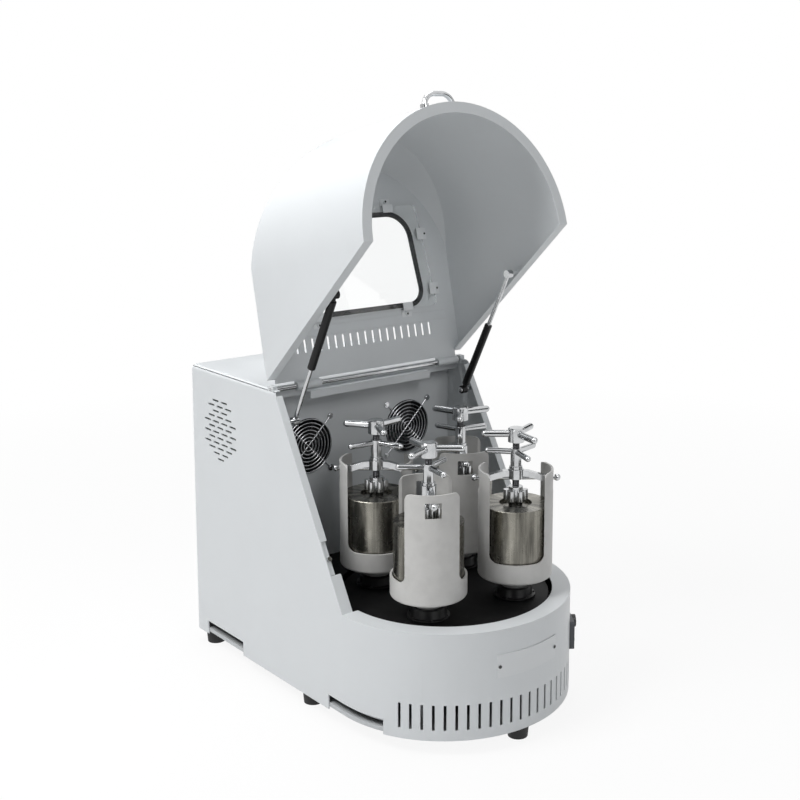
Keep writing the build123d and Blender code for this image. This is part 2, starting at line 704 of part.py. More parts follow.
# ---------------------------------------------------------------- drive
def add_belt_plan(grow):
    """Adds the belt's inside outline, grown all round, to the sketch in hand."""
    reach = MOTOR_Y
    slope = (MAIN_BELT_R - MOTOR_BELT_R) / reach
    c = sqrt(1 - slope**2)
    main = MAIN_BELT_R + grow
    motor = MOTOR_BELT_R + grow
    with BuildLine() as outline:
        Line((main * c, main * slope), (motor * c, reach + motor * slope))
        ThreePointArc(
            (motor * c, reach + motor * slope), (0, reach + motor), (-motor * c, reach + motor * slope)
        )
        Line((-motor * c, reach + motor * slope), (-main * c, main * slope))
        ThreePointArc((-main * c, main * slope), (0, -main), (main * c, main * slope))
    add(outline.line)
    make_face()


def pulley(y, radius):
    """A pulley at y, with a groove for the belt."""
    half = BELT_W / 2 + SEAT_GAP
    with BuildPart() as wheel:
        with BuildSketch(level(PULLEY_Z - half - PULLEY_CHEEK, 0, y)):
            Circle(radius + PULLEY_RIM)
        extrude(amount=2 * (half + PULLEY_CHEEK))
        with BuildSketch(level(PULLEY_Z - half, 0, y)):
            Circle(radius + PULLEY_RIM)
            Circle(radius - SEAT_GAP, mode=Mode.SUBTRACT)
        extrude(amount=2 * half, mode=Mode.SUBTRACT)
    return wheel.part


MOTOR_Z = BRIDGE_Z + BRIDGE_T
MOTOR_SHAFT_IN = 30.0

with BuildPart() as drive_motor:
    with BuildSketch(level(MOTOR_Z, 0, MOTOR_Y)):
        Circle(MOTOR_R)
    extrude(amount=MOTOR_H)
    fillet(drive_motor.faces().sort_by(Axis.Z)[-1].edges(), 8)
    with BuildSketch(level(MOTOR_Z, 0, MOTOR_Y)):
        Rectangle(2 * MOTOR_R, 2 * MOTOR_R)
    extrude(amount=12)
    with BuildSketch(level(MOTOR_Z, 0, MOTOR_Y)):
        Circle(MOTOR_SHAFT_R + RUN_FIT)
    extrude(amount=MOTOR_SHAFT_IN + 1, mode=Mode.SUBTRACT)
write(drive_motor.part, "drive_motor")

motor_wheel = pulley(MOTOR_Y, MOTOR_BELT_R)
main_wheel = pulley(0, MAIN_BELT_R)

with BuildPart() as motor_pulley:
    add(motor_wheel)
    with BuildSketch(level(SHAFT_BOTTOM, 0, MOTOR_Y)):
        Circle(MOTOR_SHAFT_R)
    extrude(amount=MOTOR_Z + MOTOR_SHAFT_IN - SHAFT_BOTTOM)
write(motor_pulley.part, "motor_pulley")

with BuildPart() as drive_belt:
    with BuildSketch(level(PULLEY_Z - BELT_W / 2)):
        add_belt_plan(BELT_T)
    extrude(amount=BELT_W)
    with BuildSketch(level(PULLEY_Z - BELT_W / 2)):
        add_belt_plan(0)
    extrude(amount=BELT_W, mode=Mode.SUBTRACT)
write(drive_belt.part, "drive_belt")

with BuildPart() as main_shaft:
    with BuildSketch(level(SHAFT_BOTTOM)):
        Circle(SHAFT_R)
    extrude(amount=TABLE_TOP - SHAFT_BOTTOM)
    add(main_wheel)
    with BuildSketch(level(TABLE_TOP)):
        Circle(SHAFT_CAP_R)
    extrude(amount=SHAFT_CAP_T)
    chamfer(main_shaft.faces().sort_by(Axis.Z)[-1].edges(), 1.5)
write(main_shaft.part, "main_shaft")

with BuildPart() as ring_gear:
    with BuildSketch(level(TUB_FLOOR_Z + TUB_FLOOR_T)):
        Circle(TUB_R - SEAT_GAP)
        Circle(RING_FOOT_R, mode=Mode.SUBTRACT)
    extrude(amount=GEAR_Z - TUB_FLOOR_Z - TUB_FLOOR_T)
    with BuildSketch(level(GEAR_Z)):
        Circle(TUB_R - SEAT_GAP)
        add_gear_outline(RING_TEETH, STATION_START_DEG, inward=True)
    extrude(amount=GEAR_H)
write(ring_gear.part, "ring_gear")

STATION_DEGS = [STATION_START_DEG + 90 * n for n in range(STATION_COUNT)]
STATIONS = [(STATION_R * cos(radians(a)), STATION_R * sin(radians(a))) for a in STATION_DEGS]

with BuildPart() as turntable:
    with BuildSketch(level(TABLE_TOP - TABLE_T)):
        Circle(TABLE_R)
    extrude(amount=TABLE_T)
    with BuildSketch(level(TABLE_TOP - TABLE_T - BOSS_DROP)):
        Circle(TABLE_BOSS_R)
        with Locations(*STATIONS):
            Circle(TABLE_BOSS_R)
    extrude(amount=BOSS_DROP)
    with BuildSketch(level(TABLE_TOP - TABLE_T - BOSS_DROP)):
        Circle(SHAFT_R + RUN_FIT)
        with Locations(*STATIONS):
            Circle(SPINDLE_R + RUN_FIT)
    extrude(amount=BOSS_DROP + TABLE_T, mode=Mode.SUBTRACT)
write(turntable.part, "turntable")

# ---------------------------------------------------------------- jar stations
GEAR_PITCH_DEG = 360 / PLANET_TEETH
GEAR_RATIO = RING_TEETH / PLANET_TEETH
SLEEVE_IN_R = SLEEVE_R - SLEEVE_WALL
JAR_R = SLEEVE_IN_R - JAR_GAP
JAR_Z = SLEEVE_Z + SLEEVE_FLOOR_T
EYE_TOP = YOKE_PIN_Z + YOKE_PIN_R + LOOSE_FIT
PRESS_Z = JAR_LID_TOP - JAR_RECESS_D + SEAT_GAP
NUT_Z = YOKE_Z + YOKE_H + SEAT_GAP
SCREW_TOP = HANDLE_Z + HANDLE_H - 6
HANDLE_SPOKE_Z = HANDLE_Z + HANDLE_SPOKE_RISE
NUT_SPOKE_Z = NUT_Z + NUT_H - NUT_SPOKE_DROP


def spokes(x, y, z, first, radius, reach):
    """Three round-ended spokes from one middle."""
    with BuildPart() as star:
        for n in range(3):
            a = radians(first + 120 * n)
            out = (cos(a), sin(a), 0)
            with BuildSketch(Plane(origin=(x, DRUM_Y + y, z), z_dir=out)):
                Circle(radius)
            extrude(amount=reach - radius)
            with Locations((x + (reach - radius) * out[0], DRUM_Y + y + (reach - radius) * out[1], z)):
                Sphere(radius)
    return star.part


for n, (x, y) in enumerate(STATIONS):
    wall_turn = WALL_TURNS[n]
    wall_dir = (cos(radians(wall_turn)), sin(radians(wall_turn)), 0)
    across_dir = (-wall_dir[1], wall_dir[0], 0)
    # upright planes through the station: along its walls, and across them
    along_walls = Plane(origin=(x, DRUM_Y + y, 0), x_dir=wall_dir, z_dir=(wall_dir[1], -wall_dir[0], 0))
    across_walls = Plane(origin=(x, DRUM_Y + y, 0), x_dir=across_dir, z_dir=wall_dir)

    with BuildPart() as sleeve:
        with BuildSketch(level(SLEEVE_Z, x, y)):
            Circle(SLEEVE_R)
        extrude(amount=SLEEVE_TOP - SLEEVE_Z)
        fillet(sleeve.faces().sort_by(Axis.Z)[0].edges(), SLEEVE_FOOT_R)
        with BuildSketch(level(JAR_Z, x, y)):
            Circle(SLEEVE_IN_R)
        extrude(amount=SLEEVE_TOP - JAR_Z, mode=Mode.SUBTRACT)
        # openings on two sides
        half = SLEEVE_R * sin(radians(OPENING_DEG / 2))
        low = SLEEVE_Z + SLEEVE_RING_H
        with BuildSketch(along_walls) as opening:
            with Locations((0, (low + SLEEVE_TOP + 20) / 2)):
                Rectangle(2 * half, SLEEVE_TOP + 20 - low)
            fillet(opening.vertices().group_by(Axis.Z)[0], OPENING_CORNER_R)
        extrude(amount=SLEEVE_R + 1, both=True, mode=Mode.SUBTRACT)
        # rounded wall tops, and a square eye under each
        half = SLEEVE_R * cos(radians(OPENING_DEG / 2)) + 0.1
        with BuildSketch(across_walls) as top:
            with Locations((0, SLEEVE_TOP)):
                Rectangle(2 * SLEEVE_R, 2 * SLEEVE_TOP_R)
            with BuildSketch(across_walls, mode=Mode.SUBTRACT) as tongue:
                with Locations((0, SLEEVE_TOP - 2 * SLEEVE_TOP_R)):
                    Rectangle(2 * half, 4 * SLEEVE_TOP_R)
                fillet(tongue.vertices().group_by(Axis.Z)[-1], SLEEVE_TOP_R)
        extrude(amount=SLEEVE_R + 1, both=True, mode=Mode.SUBTRACT)
        with BuildSketch(across_walls):
            with Locations((0, EYE_TOP - EYE_SIZE[1] / 2)):
                RectangleRounded(*EYE_SIZE, 1.5)
        extrude(amount=SLEEVE_R + 1, both=True, mode=Mode.SUBTRACT)
        # hub on the turntable, and the spindle through it
        with BuildSketch(level(TABLE_TOP + SEAT_GAP, x, y)):
            Circle(HUB_R)
        extrude(amount=SLEEVE_Z - TABLE_TOP - SEAT_GAP)
        with BuildSketch(level(GEAR_Z - SPINDLE_END, x, y)):
            Circle(SPINDLE_R)
        extrude(amount=TABLE_TOP + SEAT_GAP - GEAR_Z + SPINDLE_END)
    with BuildPart() as planet_gear:
        mesh = STATION_DEGS[n] + GEAR_RATIO * (STATION_START_DEG - STATION_DEGS[n])
        with BuildSketch(level(GEAR_Z, x, y)):
            add_gear_outline(PLANET_TEETH, mesh + GEAR_PITCH_DEG / 2)
        extrude(amount=GEAR_H)
        with BuildSketch(level(GEAR_Z - 2, x, y)):
            Circle(SPINDLE_R + RUN_FIT)
        extrude(amount=GEAR_H + 4, mode=Mode.SUBTRACT)
    write(Compound(children=[sleeve.part, planet_gear.part]), f"sleeve_{n + 1}")

    with BuildPart() as jar:
        with BuildSketch(level(JAR_Z, x, y)):
            Circle(JAR_R)
        extrude(amount=JAR_TOP - JAR_Z)
        chamfer(jar.faces().sort_by(Axis.Z)[0].edges(), 2)
        with BuildSketch(level(JAR_Z + JAR_WALL, x, y)):
            Circle(JAR_R - JAR_WALL)
        extrude(amount=JAR_TOP - JAR_Z - JAR_WALL, mode=Mode.SUBTRACT)
    write(jar.part, f"jar_{n + 1}")

    with BuildPart() as jar_lid:
        with BuildSketch(level(JAR_TOP, x, y)):
            Circle(JAR_R)
        extrude(amount=JAR_LID_TOP - JAR_TOP)
        chamfer(jar_lid.faces().sort_by(Axis.Z)[-1].edges(), 1)
        with BuildSketch(level(JAR_TOP - JAR_LID_SPIGOT, x, y)):
            Circle(JAR_R - JAR_WALL - LOOSE_FIT)
        extrude(amount=JAR_LID_SPIGOT)
        with BuildSketch(level(JAR_LID_TOP - JAR_RECESS_D, x, y)):
            Circle(JAR_RECESS_R)
        extrude(amount=JAR_RECESS_D, mode=Mode.SUBTRACT)
    write(jar_lid.part, f"jar_lid_{n + 1}")

    with BuildPart() as clamp_screw:
        with BuildSketch(level(PRESS_Z, x, y)):
            Circle(SCREW_R)
        extrude(amount=SCREW_TOP - PRESS_Z)
        chamfer(clamp_screw.faces().sort_by(Axis.Z)[-1].edges(), 1)
        with BuildSketch(level(PRESS_Z, x, y)):
            Circle(PRESS_HUB_R)
        extrude(amount=PRESS_TOP - PRESS_Z)
        with BuildSketch(level(PRESS_LOBE_TOP - PRESS_LOBE_H, x, y, wall_turn)):
            Circle(PRESS_HUB_R)
            with PolarLocations(PRESS_PITCH_R, PRESS_LOBES):
                Circle(PRESS_LOBE_R)
        extrude(amount=PRESS_LOBE_H)
    write(clamp_screw.part, f"clamp_screw_{n + 1}")

    with BuildPart() as yoke:
        with BuildSketch(level(YOKE_Z, x, y)):
            Circle(YOKE_HUB_R)
        extrude(amount=YOKE_H)
        tip = SLEEVE_IN_R - 3
        rise = YOKE_ARM_DROP
        half = YOKE_ARM_H / 2
        for sign in (-1, 1):
            with BuildSketch(along_walls):
                with BuildLine():
                    Polyline(
                        (0, YOKE_PIN_Z + rise + half),
                        (sign * YOKE_ELBOWS[0], YOKE_PIN_Z + rise + half - 2),
                        (sign * YOKE_ELBOWS[1], YOKE_PIN_Z + half),
                        (sign * tip, YOKE_PIN_Z + half),
                        (sign * tip, YOKE_PIN_Z - half),
                        (sign * (YOKE_ELBOWS[1] - 2), YOKE_PIN_Z - half),
                        (sign * (YOKE_ELBOWS[0] - 2), YOKE_PIN_Z + rise - half - 2),
                        (0, YOKE_PIN_Z + rise - half),
                        close=True,
                    )
                make_face()
            extrude(amount=YOKE_ARM_W / 2, both=True)
        with BuildSketch(across_walls):
            with Locations((0, YOKE_PIN_Z)):
                Circle(YOKE_PIN_R)
        extrude(amount=SLEEVE_R + YOKE_BALL_R, both=True)
        ball = SLEEVE_R + SEAT_GAP + YOKE_BALL_R
        for sign in (-1, 1):
            at = (x + sign * ball * wall_dir[0], DRUM_Y + y + sign * ball * wall_dir[1], YOKE_PIN_Z)
            with Locations(at):
                Sphere(YOKE_BALL_R)
        with BuildSketch(level(YOKE_PIN_Z - YOKE_ARM_H, x, y)):
            Circle(SCREW_R + RUN_FIT)
        extrude(amount=YOKE_Z + YOKE_H - YOKE_PIN_Z + YOKE_ARM_H, mode=Mode.SUBTRACT)
    write(yoke.part, f"yoke_{n + 1}")

    nut_spokes = spokes(x, y, NUT_SPOKE_Z, NUT_TURNS[n], NUT_SPOKE_R, NUT_SPOKE_REACH)
    handle_spokes = spokes(x, y, HANDLE_SPOKE_Z, HANDLE_TURNS[n], HANDLE_SPOKE_R, HANDLE_SPOKE_REACH)

    with BuildPart() as lock_nut:
        with BuildSketch(level(NUT_Z, x, y)):
            Circle(NUT_FLANGE_R)
        extrude(amount=NUT_FLANGE_T)
        with BuildSketch(level(NUT_Z, x, y)):
            Circle(NUT_R)
        extrude(amount=NUT_H)
        add(nut_spokes)
        with BuildSketch(level(NUT_Z, x, y)):
            Circle(SCREW_R + RUN_FIT)
        extrude(amount=NUT_H, mode=Mode.SUBTRACT)
    write(lock_nut.part, f"lock_nut_{n + 1}")

    with BuildPart() as clamp_handle:
        with BuildSketch(level(HANDLE_Z, x, y)):
            Circle(HANDLE_R)
        extrude(amount=HANDLE_H)
        chamfer(clamp_handle.faces().sort_by(Axis.Z)[-1].edges(), 2)
        add(handle_spokes)
        with BuildSketch(level(HANDLE_Z, x, y)):
            Circle(SCREW_R + RUN_FIT)
        extrude(amount=SCREW_TOP - HANDLE_Z + SEAT_GAP, mode=Mode.SUBTRACT)
    write(clamp_handle.part, f"clamp_handle_{n + 1}")

# ---------------------------------------------------------------- hinge rod
with BuildPart() as hinge_rod:
    with BuildSketch(side()):
        with Locations((HINGE_Y, HINGE_Z)):
            Circle(ROD_R)
    extrude(amount=INNER_R - SEAT_GAP, both=True)
write(hinge_rod.part, "hinge_rod")

# ---------------------------------------------------------------- lid, drawn shut and swung open
HINGE_AXIS = Axis((0, DRUM_Y + HINGE_Y, HINGE_Z), (1, 0, 0))
LID_LOW = RIM_Z + LID_GAP
LEVEL_GAP = LID_GAP * SLOPE_L / SLOPE_RISE        # the lid's gap over the slope, measured level
LEVEL_SKIN = LID_FLANGE_T * SLOPE_L / SLOPE_RISE
PLATE_UNDER = LID_TOP - LID_T
PANE_HIGH = PLATE_UNDER - GASKET_T - 2 * SEAT_GAP
PANE_LOW = PANE_HIGH - PANE_T
STUD_IN_X = STRUT_X + STRUT_EYE_W / 2 + SEAT_GAP  # where the lid's strut studs end


def opened(part):
    """Swings a piece of the lid from shut to wide open."""
    return part.rotate(HINGE_AXIS, -LID_OPEN_DEG)


# the dome passes through the front ends of the flat top and of the upright wall
DOME_FLAT = HOOD_DOME_Y - HOOD_FLAT_Y
DOME_WALL = HOOD_DOME_Y + DRUM_R
DOME_Z = (LID_TOP + HOOD_WALL_Z) / 2 - (DOME_WALL**2 - DOME_FLAT**2) / (2 * (LID_TOP - HOOD_WALL_Z))
DOME_R = hypot(DOME_FLAT, LID_TOP - DOME_Z)


def hood(inset):
    """The lid's outside as a solid block, drawn in by inset all round."""
    with BuildPart() as shoulder:
        with BuildSketch(level(DOME_Z)):
            with Locations((0, HOOD_DOME_Y - DRUM_R)):
                Rectangle(3 * DRUM_R, 2 * DRUM_R)
        extrude(amount=LID_TOP - DOME_Z + 1)
        with Locations((0, DRUM_Y + HOOD_DOME_Y, DOME_Z)):
            Sphere(DOME_R - inset, mode=Mode.SUBTRACT)
    with BuildPart() as block:
        with BuildSketch(level(LID_LOW - inset)):
            add_outline(DRUM_R - inset, HINGE_Y)
        extrude(amount=LID_TOP - LID_LOW)
        add(shoulder.part, mode=Mode.SUBTRACT)
    return block.part


lid_outside = hood(0)
lid_inside = hood(LID_T)

with BuildPart() as lid_shell:
    add(lid_outside)
    add(lid_inside, mode=Mode.SUBTRACT)
    with BuildSketch(side()):
        with BuildLine():
            Polyline(
                (slope_y(LID_LOW - 1) - LEVEL_GAP, LID_LOW - 1),
                (slope_y(LID_TOP + 1) - LEVEL_GAP, LID_TOP + 1),
                (HINGE_Y + 1, LID_TOP + 1),
                (HINGE_Y + 1, LID_LOW - 1),
                close=True,
            )
        make_face()
    extrude(amount=DRUM_R + 1, both=True, mode=Mode.SUBTRACT)
    # flange turned in along the arch, and along both slopes
    with BuildSketch(level(LID_LOW)):
        Circle(DRUM_R - LID_T / 2)
        Circle(INNER_R - LID_FLANGE_W, mode=Mode.SUBTRACT)
        with Locations((0, slope_y(LID_LOW) - LEVEL_GAP + DRUM_R)):
            Rectangle(2 * DRUM_R, 2 * DRUM_R, mode=Mode.SUBTRACT)
    extrude(amount=LID_FLANGE_T)
    for sign in (-1, 1):
        with BuildSketch(side(sign * (INNER_R + LID_T / 2))):
            with BuildLine():
                Polyline(
                    (slope_y(LID_LOW) - LEVEL_GAP, LID_LOW),
                    (slope_y(LID_LOW) - LEVEL_GAP - LEVEL_SKIN, LID_LOW),
                    (slope_y(PLATE_UNDER) - LEVEL_GAP - LEVEL_SKIN, PLATE_UNDER),
                    (slope_y(PLATE_UNDER) - LEVEL_GAP, PLATE_UNDER),
                    close=True,
                )
            make_face()
        extrude(amount=-sign * (LID_FLANGE_W + LID_T / 2))
    # the top plate runs back to the rod, and curls round it at two lugs
    start_y = slope_y(PLATE_UNDER) - LEVEL_GAP - 2
    with BuildSketch(level(PLATE_UNDER)):
        with Locations((0, (start_y + LID_BACK_Y) / 2)):
            Rectangle(2 * LID_BACK_X, LID_BACK_Y - start_y)
        for left, right in LUG_SPANS:
            with Locations(((left + right) / 2, (start_y + HINGE_Y) / 2)):
                Rectangle(right - left, HINGE_Y - start_y)
    extrude(amount=LID_T)
    for left, right in LUG_SPANS:
        with BuildSketch(side(left)):
            with Locations((HINGE_Y, HINGE_Z)):
                Circle(LUG_R)
        extrude(amount=right - left)
    with BuildSketch(side()):
        with Locations((HINGE_Y, HINGE_Z)):
            Circle(ROD_R + LOOSE_FIT)
    extrude(amount=DRUM_R, both=True, mode=Mode.SUBTRACT)
    # window and vent slots
    with BuildSketch(level(PLATE_UNDER - 1)):
        add_window()
    extrude(amount=LID_T + 2, mode=Mode.SUBTRACT)
    with BuildSketch(level(PLATE_UNDER - 1)):
        for n in range(LID_SLOTS):
            with Locations(((n - (LID_SLOTS - 1) / 2) * LID_SLOT_STEP, LID_SLOT_Y)):
                SlotOverall(LID_SLOT[1], LID_SLOT[0], rotation=90)
    extrude(amount=LID_T + 2, mode=Mode.SUBTRACT)
write(opened(lid_shell.part), "lid_shell")

with BuildPart() as window_gasket:
    with BuildSketch(level(PLATE_UNDER - SEAT_GAP)):
        add_window(GASKET_W - GASKET_IN)
    extrude(amount=-GASKET_T)
    with BuildSketch(level(PLATE_UNDER - SEAT_GAP)):
        add_window(-GASKET_IN)
    extrude(amount=-GASKET_T, mode=Mode.SUBTRACT)
write(opened(window_gasket.part), "window_gasket")

with BuildPart() as window_pane:
    with BuildSketch(level(PANE_LOW)) as pane:
        with BuildLine():
            Polyline(
                (-PANE_REAR_X, PANE_REAR_Y),
                (PANE_REAR_X, PANE_REAR_Y),
                (PANE_FRONT_X, PANE_FRONT_Y),
                (-PANE_FRONT_X, PANE_FRONT_Y),
                close=True,
            )
        make_face()
        fillet(pane.vertices(), PANE_R)
    extrude(amount=PANE_T)
write(opened(window_pane.part), "window_pane")

with BuildPart() as lid_handle:
    with BuildLine(level(BOW_Z)) as bow:
        FilletPolyline(
            (-BOW_SPAN / 2, BOW_R - DRUM_R),
            (-BOW_SPAN / 2, -DRUM_R - BOW_REACH + BOW_R),
            (BOW_SPAN / 2, -DRUM_R - BOW_REACH + BOW_R),
            (BOW_SPAN / 2, BOW_R - DRUM_R),
            radius=BOW_BEND_R,
        )
    with BuildSketch(Plane(origin=bow.line @ 0, z_dir=(0, -1, 0))):
        Circle(BOW_R)
    sweep(path=bow.line)
    with BuildSketch(facing(BOW_R - DRUM_R)):
        with Locations((-BOW_SPAN / 2, BOW_Z), (BOW_SPAN / 2, BOW_Z)):
            Circle(BOW_R + 3)
    extrude(amount=-BOW_R - 4)
    with BuildSketch(level(BOW_Z - 2 * BOW_R)):
        Circle(DRUM_R)
    extrude(amount=4 * BOW_R, mode=Mode.SUBTRACT)
write(opened(lid_handle.part), "lid_handle")


def pane_x(y):
    """Half the pane's width at y."""
    share = (y - PANE_FRONT_Y) / (PANE_REAR_Y - PANE_FRONT_Y)
    return PANE_FRONT_X + share * (PANE_REAR_X - PANE_FRONT_X)


CLIPS = [(pane_x(y), y, 0) for y in CLIP_SIDE_YS]
CLIPS += [(CLIP_FRONT_X, PANE_FRONT_Y, -90), (CLIP_REAR_X, PANE_REAR_Y, 90)]
CLIPS += [(-x, y, 180 - turn) for x, y, turn in CLIPS]

with BuildPart() as lid_fittings:
    for x, y, turn in CLIPS:
        out = (cos(radians(turn)), sin(radians(turn)), 0)
        mid = (CLIP_FOOT + CLIP_CLEAR + CLIP_T) / 2
        screw = (x + out[0] * mid, y + out[1] * mid)
        tongue_high = PANE_LOW - SEAT_GAP
        upright = Plane(origin=(x, DRUM_Y + y, 0), x_dir=out, z_dir=(out[1], -out[0], 0))
        with BuildSketch(upright):
            with BuildLine():
                Polyline(
                    (-CLIP_TONGUE, tongue_high),
                    (CLIP_CLEAR, tongue_high),
                    (CLIP_CLEAR, PLATE_UNDER),
                    (CLIP_FOOT, PLATE_UNDER),
                    (CLIP_FOOT, PLATE_UNDER - CLIP_T),
                    (CLIP_CLEAR + CLIP_T, PLATE_UNDER - CLIP_T),
                    (CLIP_CLEAR + CLIP_T, tongue_high - CLIP_T),
                    (-CLIP_TONGUE, tongue_high - CLIP_T),
                    close=True,
                )
            make_face()
        extrude(amount=CLIP_W / 2, both=True)
        with BuildSketch(level(PLATE_UNDER - CLIP_T, *screw)):
            Circle(2 * CLIP_SCREW_R)
        extrude(amount=-1.5 * CLIP_T)
    for sign in (-1, 1):
        with BuildSketch(side(sign * INNER_R)):
            with Locations((STRUT_UP_Y, STRUT_UP_Z)):
                Circle(STUD_BASE_R)
        extrude(amount=-sign * STUD_HEAD_T)
        with BuildSketch(side(sign * INNER_R)):
            with Locations((STRUT_UP_Y, STRUT_UP_Z)):
                Circle(STUD_R)
        extrude(amount=-sign * (INNER_R - STUD_IN_X))
        with BuildSketch(side(sign * STUD_IN_X)):
            with Locations((STRUT_UP_Y, STRUT_UP_Z)):
                Circle(STUD_HEAD_R)
        extrude(amount=sign * STUD_HEAD_T)
write(opened(lid_fittings.part), "lid_fittings")

# ---------------------------------------------------------------- gas struts, at the open lid
OPEN_Y = (
    HINGE_Y
    + cos(radians(LID_OPEN_DEG)) * (STRUT_UP_Y - HINGE_Y)
    + sin(radians(LID_OPEN_DEG)) * (STRUT_UP_Z - HINGE_Z)
)
OPEN_Z = (
    HINGE_Z
    - sin(radians(LID_OPEN_DEG)) * (STRUT_UP_Y - HINGE_Y)
    + cos(radians(LID_OPEN_DEG)) * (STRUT_UP_Z - HINGE_Z)
)
STRUT_L = hypot(OPEN_Y - STRUT_LOW_Y, OPEN_Z - STRUT_LOW_Z)
STRUT_SHUT_L = hypot(STRUT_UP_Y - STRUT_LOW_Y, STRUT_UP_Z - STRUT_LOW_Z)
STRUT_DIR = ((OPEN_Y - STRUT_LOW_Y) / STRUT_L, (OPEN_Z - STRUT_LOW_Z) / STRUT_L)
ROD_OUT = STRUT_L - STRUT_NECK_L - STRUT_TUBE_L   # rod that shows with the lid open


def strut_half(x, y, z, way, tube):
    """The tube or the rod of a strut at side x, from its pivot at y and z."""
    along = (0, way * STRUT_DIR[0], way * STRUT_DIR[1])

    def ring(distance):
        origin = (x, DRUM_Y + y + distance * along[1], z + distance * along[2])
        return Plane(origin=origin, x_dir=(1, 0, 0), z_dir=along)

    with BuildPart() as half:
        if tube:
            with BuildSketch(ring(0)):
                Circle(STRUT_NECK_R)
            extrude(amount=STRUT_NECK_L)
            with BuildSketch(ring(STRUT_NECK_L)):
                Circle(STRUT_TUBE_R)
            extrude(amount=STRUT_TUBE_L)
            fillet(half.edges().filter_by(GeomType.CIRCLE).group_by(SortBy.RADIUS)[-1], 1.5)
            with BuildSketch(ring(STRUT_NECK_L + 3)):
                Circle(STRUT_BORE_R)
            extrude(amount=STRUT_TUBE_L - STRUT_GLAND_L - 3, mode=Mode.SUBTRACT)
            with BuildSketch(ring(STRUT_NECK_L + 3)):
                Circle(STRUT_ROD_R + RUN_FIT)
            extrude(amount=STRUT_TUBE_L, mode=Mode.SUBTRACT)
        else:
            with BuildSketch(ring(0)):
                Circle(STRUT_ROD_R)
            extrude(amount=ROD_OUT + STRUT_ENGAGED)
            with BuildSketch(ring(ROD_OUT + STRUT_ENGAGED - STRUT_PISTON_L)):
                Circle(STRUT_BORE_R - RUN_FIT)
            extrude(amount=STRUT_PISTON_L)
        with BuildSketch(side(x)):
            with Locations((y, z)):
                Circle(STRUT_EYE_R)
        extrude(amount=STRUT_EYE_W / 2, both=True)
        if (y, z) == (STRUT_LOW_Y, STRUT_LOW_Z):
            with BuildSketch(side(x)):
                with Locations((y, z)):
                    Circle(STUD_R + RUN_FIT)
            extrude(amount=STRUT_EYE_W, both=True, mode=Mode.SUBTRACT)
    return half.part


write(strut_half(-STRUT_X, STRUT_LOW_Y, STRUT_LOW_Z, 1, False), "left_strut_rod")
write(strut_half(-STRUT_X, OPEN_Y, OPEN_Z, -1, True), "left_strut_cylinder")
write(strut_half(STRUT_X, STRUT_LOW_Y, STRUT_LOW_Z, 1, True), "right_strut_cylinder")
write(strut_half(STRUT_X, OPEN_Y, OPEN_Z, -1, False), "right_strut_rod")

# ---------------------------------------------------------------- panel, plate and inlet
with BuildPart() as control_panel:
    with BuildSketch(round_drum(PANEL_DEG, DRUM_R + PANEL_PROUD, PANEL_Z)):
        RectangleRounded(*PANEL_SIZE, 4)
    extrude(amount=-PANEL_PROUD - 10)
    with BuildSketch(level(PANEL_Z - PANEL_SIZE[1])):
        Circle(DRUM_R)
    extrude(amount=2 * PANEL_SIZE[1], mode=Mode.SUBTRACT)
    with BuildSketch(round_drum(PANEL_DEG, DRUM_R + PANEL_PROUD, PANEL_Z)):
        with Locations(KNOB_PLACE):
            Circle(KNOB_STEM_R + RUN_FIT)
        with Locations(START_PLACE, STOP_PLACE):
            Circle(BUTTON_R + RUN_FIT)
    extrude(amount=-PANEL_PROUD - 10, mode=Mode.SUBTRACT)
write(control_panel.part, "control_panel")

with BuildPart() as speed_knob:
    with BuildSketch(round_drum(PANEL_DEG, DRUM_R + PANEL_PROUD + SEAT_GAP, PANEL_Z)):
        with Locations(KNOB_PLACE):
            Circle(KNOB_R)
            with PolarLocations(KNOB_R + 0.6, 12):
                Circle(1.2, mode=Mode.SUBTRACT)
    extrude(amount=KNOB_H)
    fillet(speed_knob.faces().sort_by(Axis((0, 0, 0), round_drum(PANEL_DEG, 1, 0).z_dir))[-1].edges(), 0.5)
    with BuildSketch(round_drum(PANEL_DEG, DRUM_R + PANEL_PROUD + SEAT_GAP, PANEL_Z)):
        with Locations(KNOB_PLACE):
            Circle(KNOB_STEM_R)
    extrude(amount=-PANEL_PROUD - 4)
write(speed_knob.part, "speed_knob")

for name, place in (("start_button", START_PLACE), ("stop_button", STOP_PLACE)):
    with BuildPart() as button:
        with BuildSketch(round_drum(PANEL_DEG, DRUM_R + PANEL_PROUD + BUTTON_PROUD, PANEL_Z)):
            with Locations(place):
                Circle(BUTTON_R)
        extrude(amount=-PANEL_PROUD - BUTTON_PROUD - 2 * BUTTON_TRAVEL)
    write(button.part, name)

PLATE_MID = (PLATE_LOW + PLATE_HIGH) / 2

with BuildPart() as access_plate:
    with BuildSketch(level(PLATE_LOW)):
        Circle(DRUM_R + COVER_T)
        Circle(DRUM_R, mode=Mode.SUBTRACT)
        with BuildLine():
            a = radians(PLATE_DEG / 2)
            far_x = 2 * DRUM_R * sin(a)
            far_y = -2 * DRUM_R * cos(a)
            Polyline((0, 0), (-far_x, far_y), (far_x, far_y), close=True)
        make_face(mode=Mode.INTERSECT)
    extrude(amount=PLATE_HIGH - PLATE_LOW)
    for sign in (-1, 1):
        with BuildSketch(round_drum(sign * PLATE_SCREW_DEG, DRUM_R + 2 * COVER_T, PLATE_MID)):
            Circle(PLATE_SCREW_R + RUN_FIT)
        extrude(amount=-4 * COVER_T, mode=Mode.SUBTRACT)
write(access_plate.part, "access_plate")

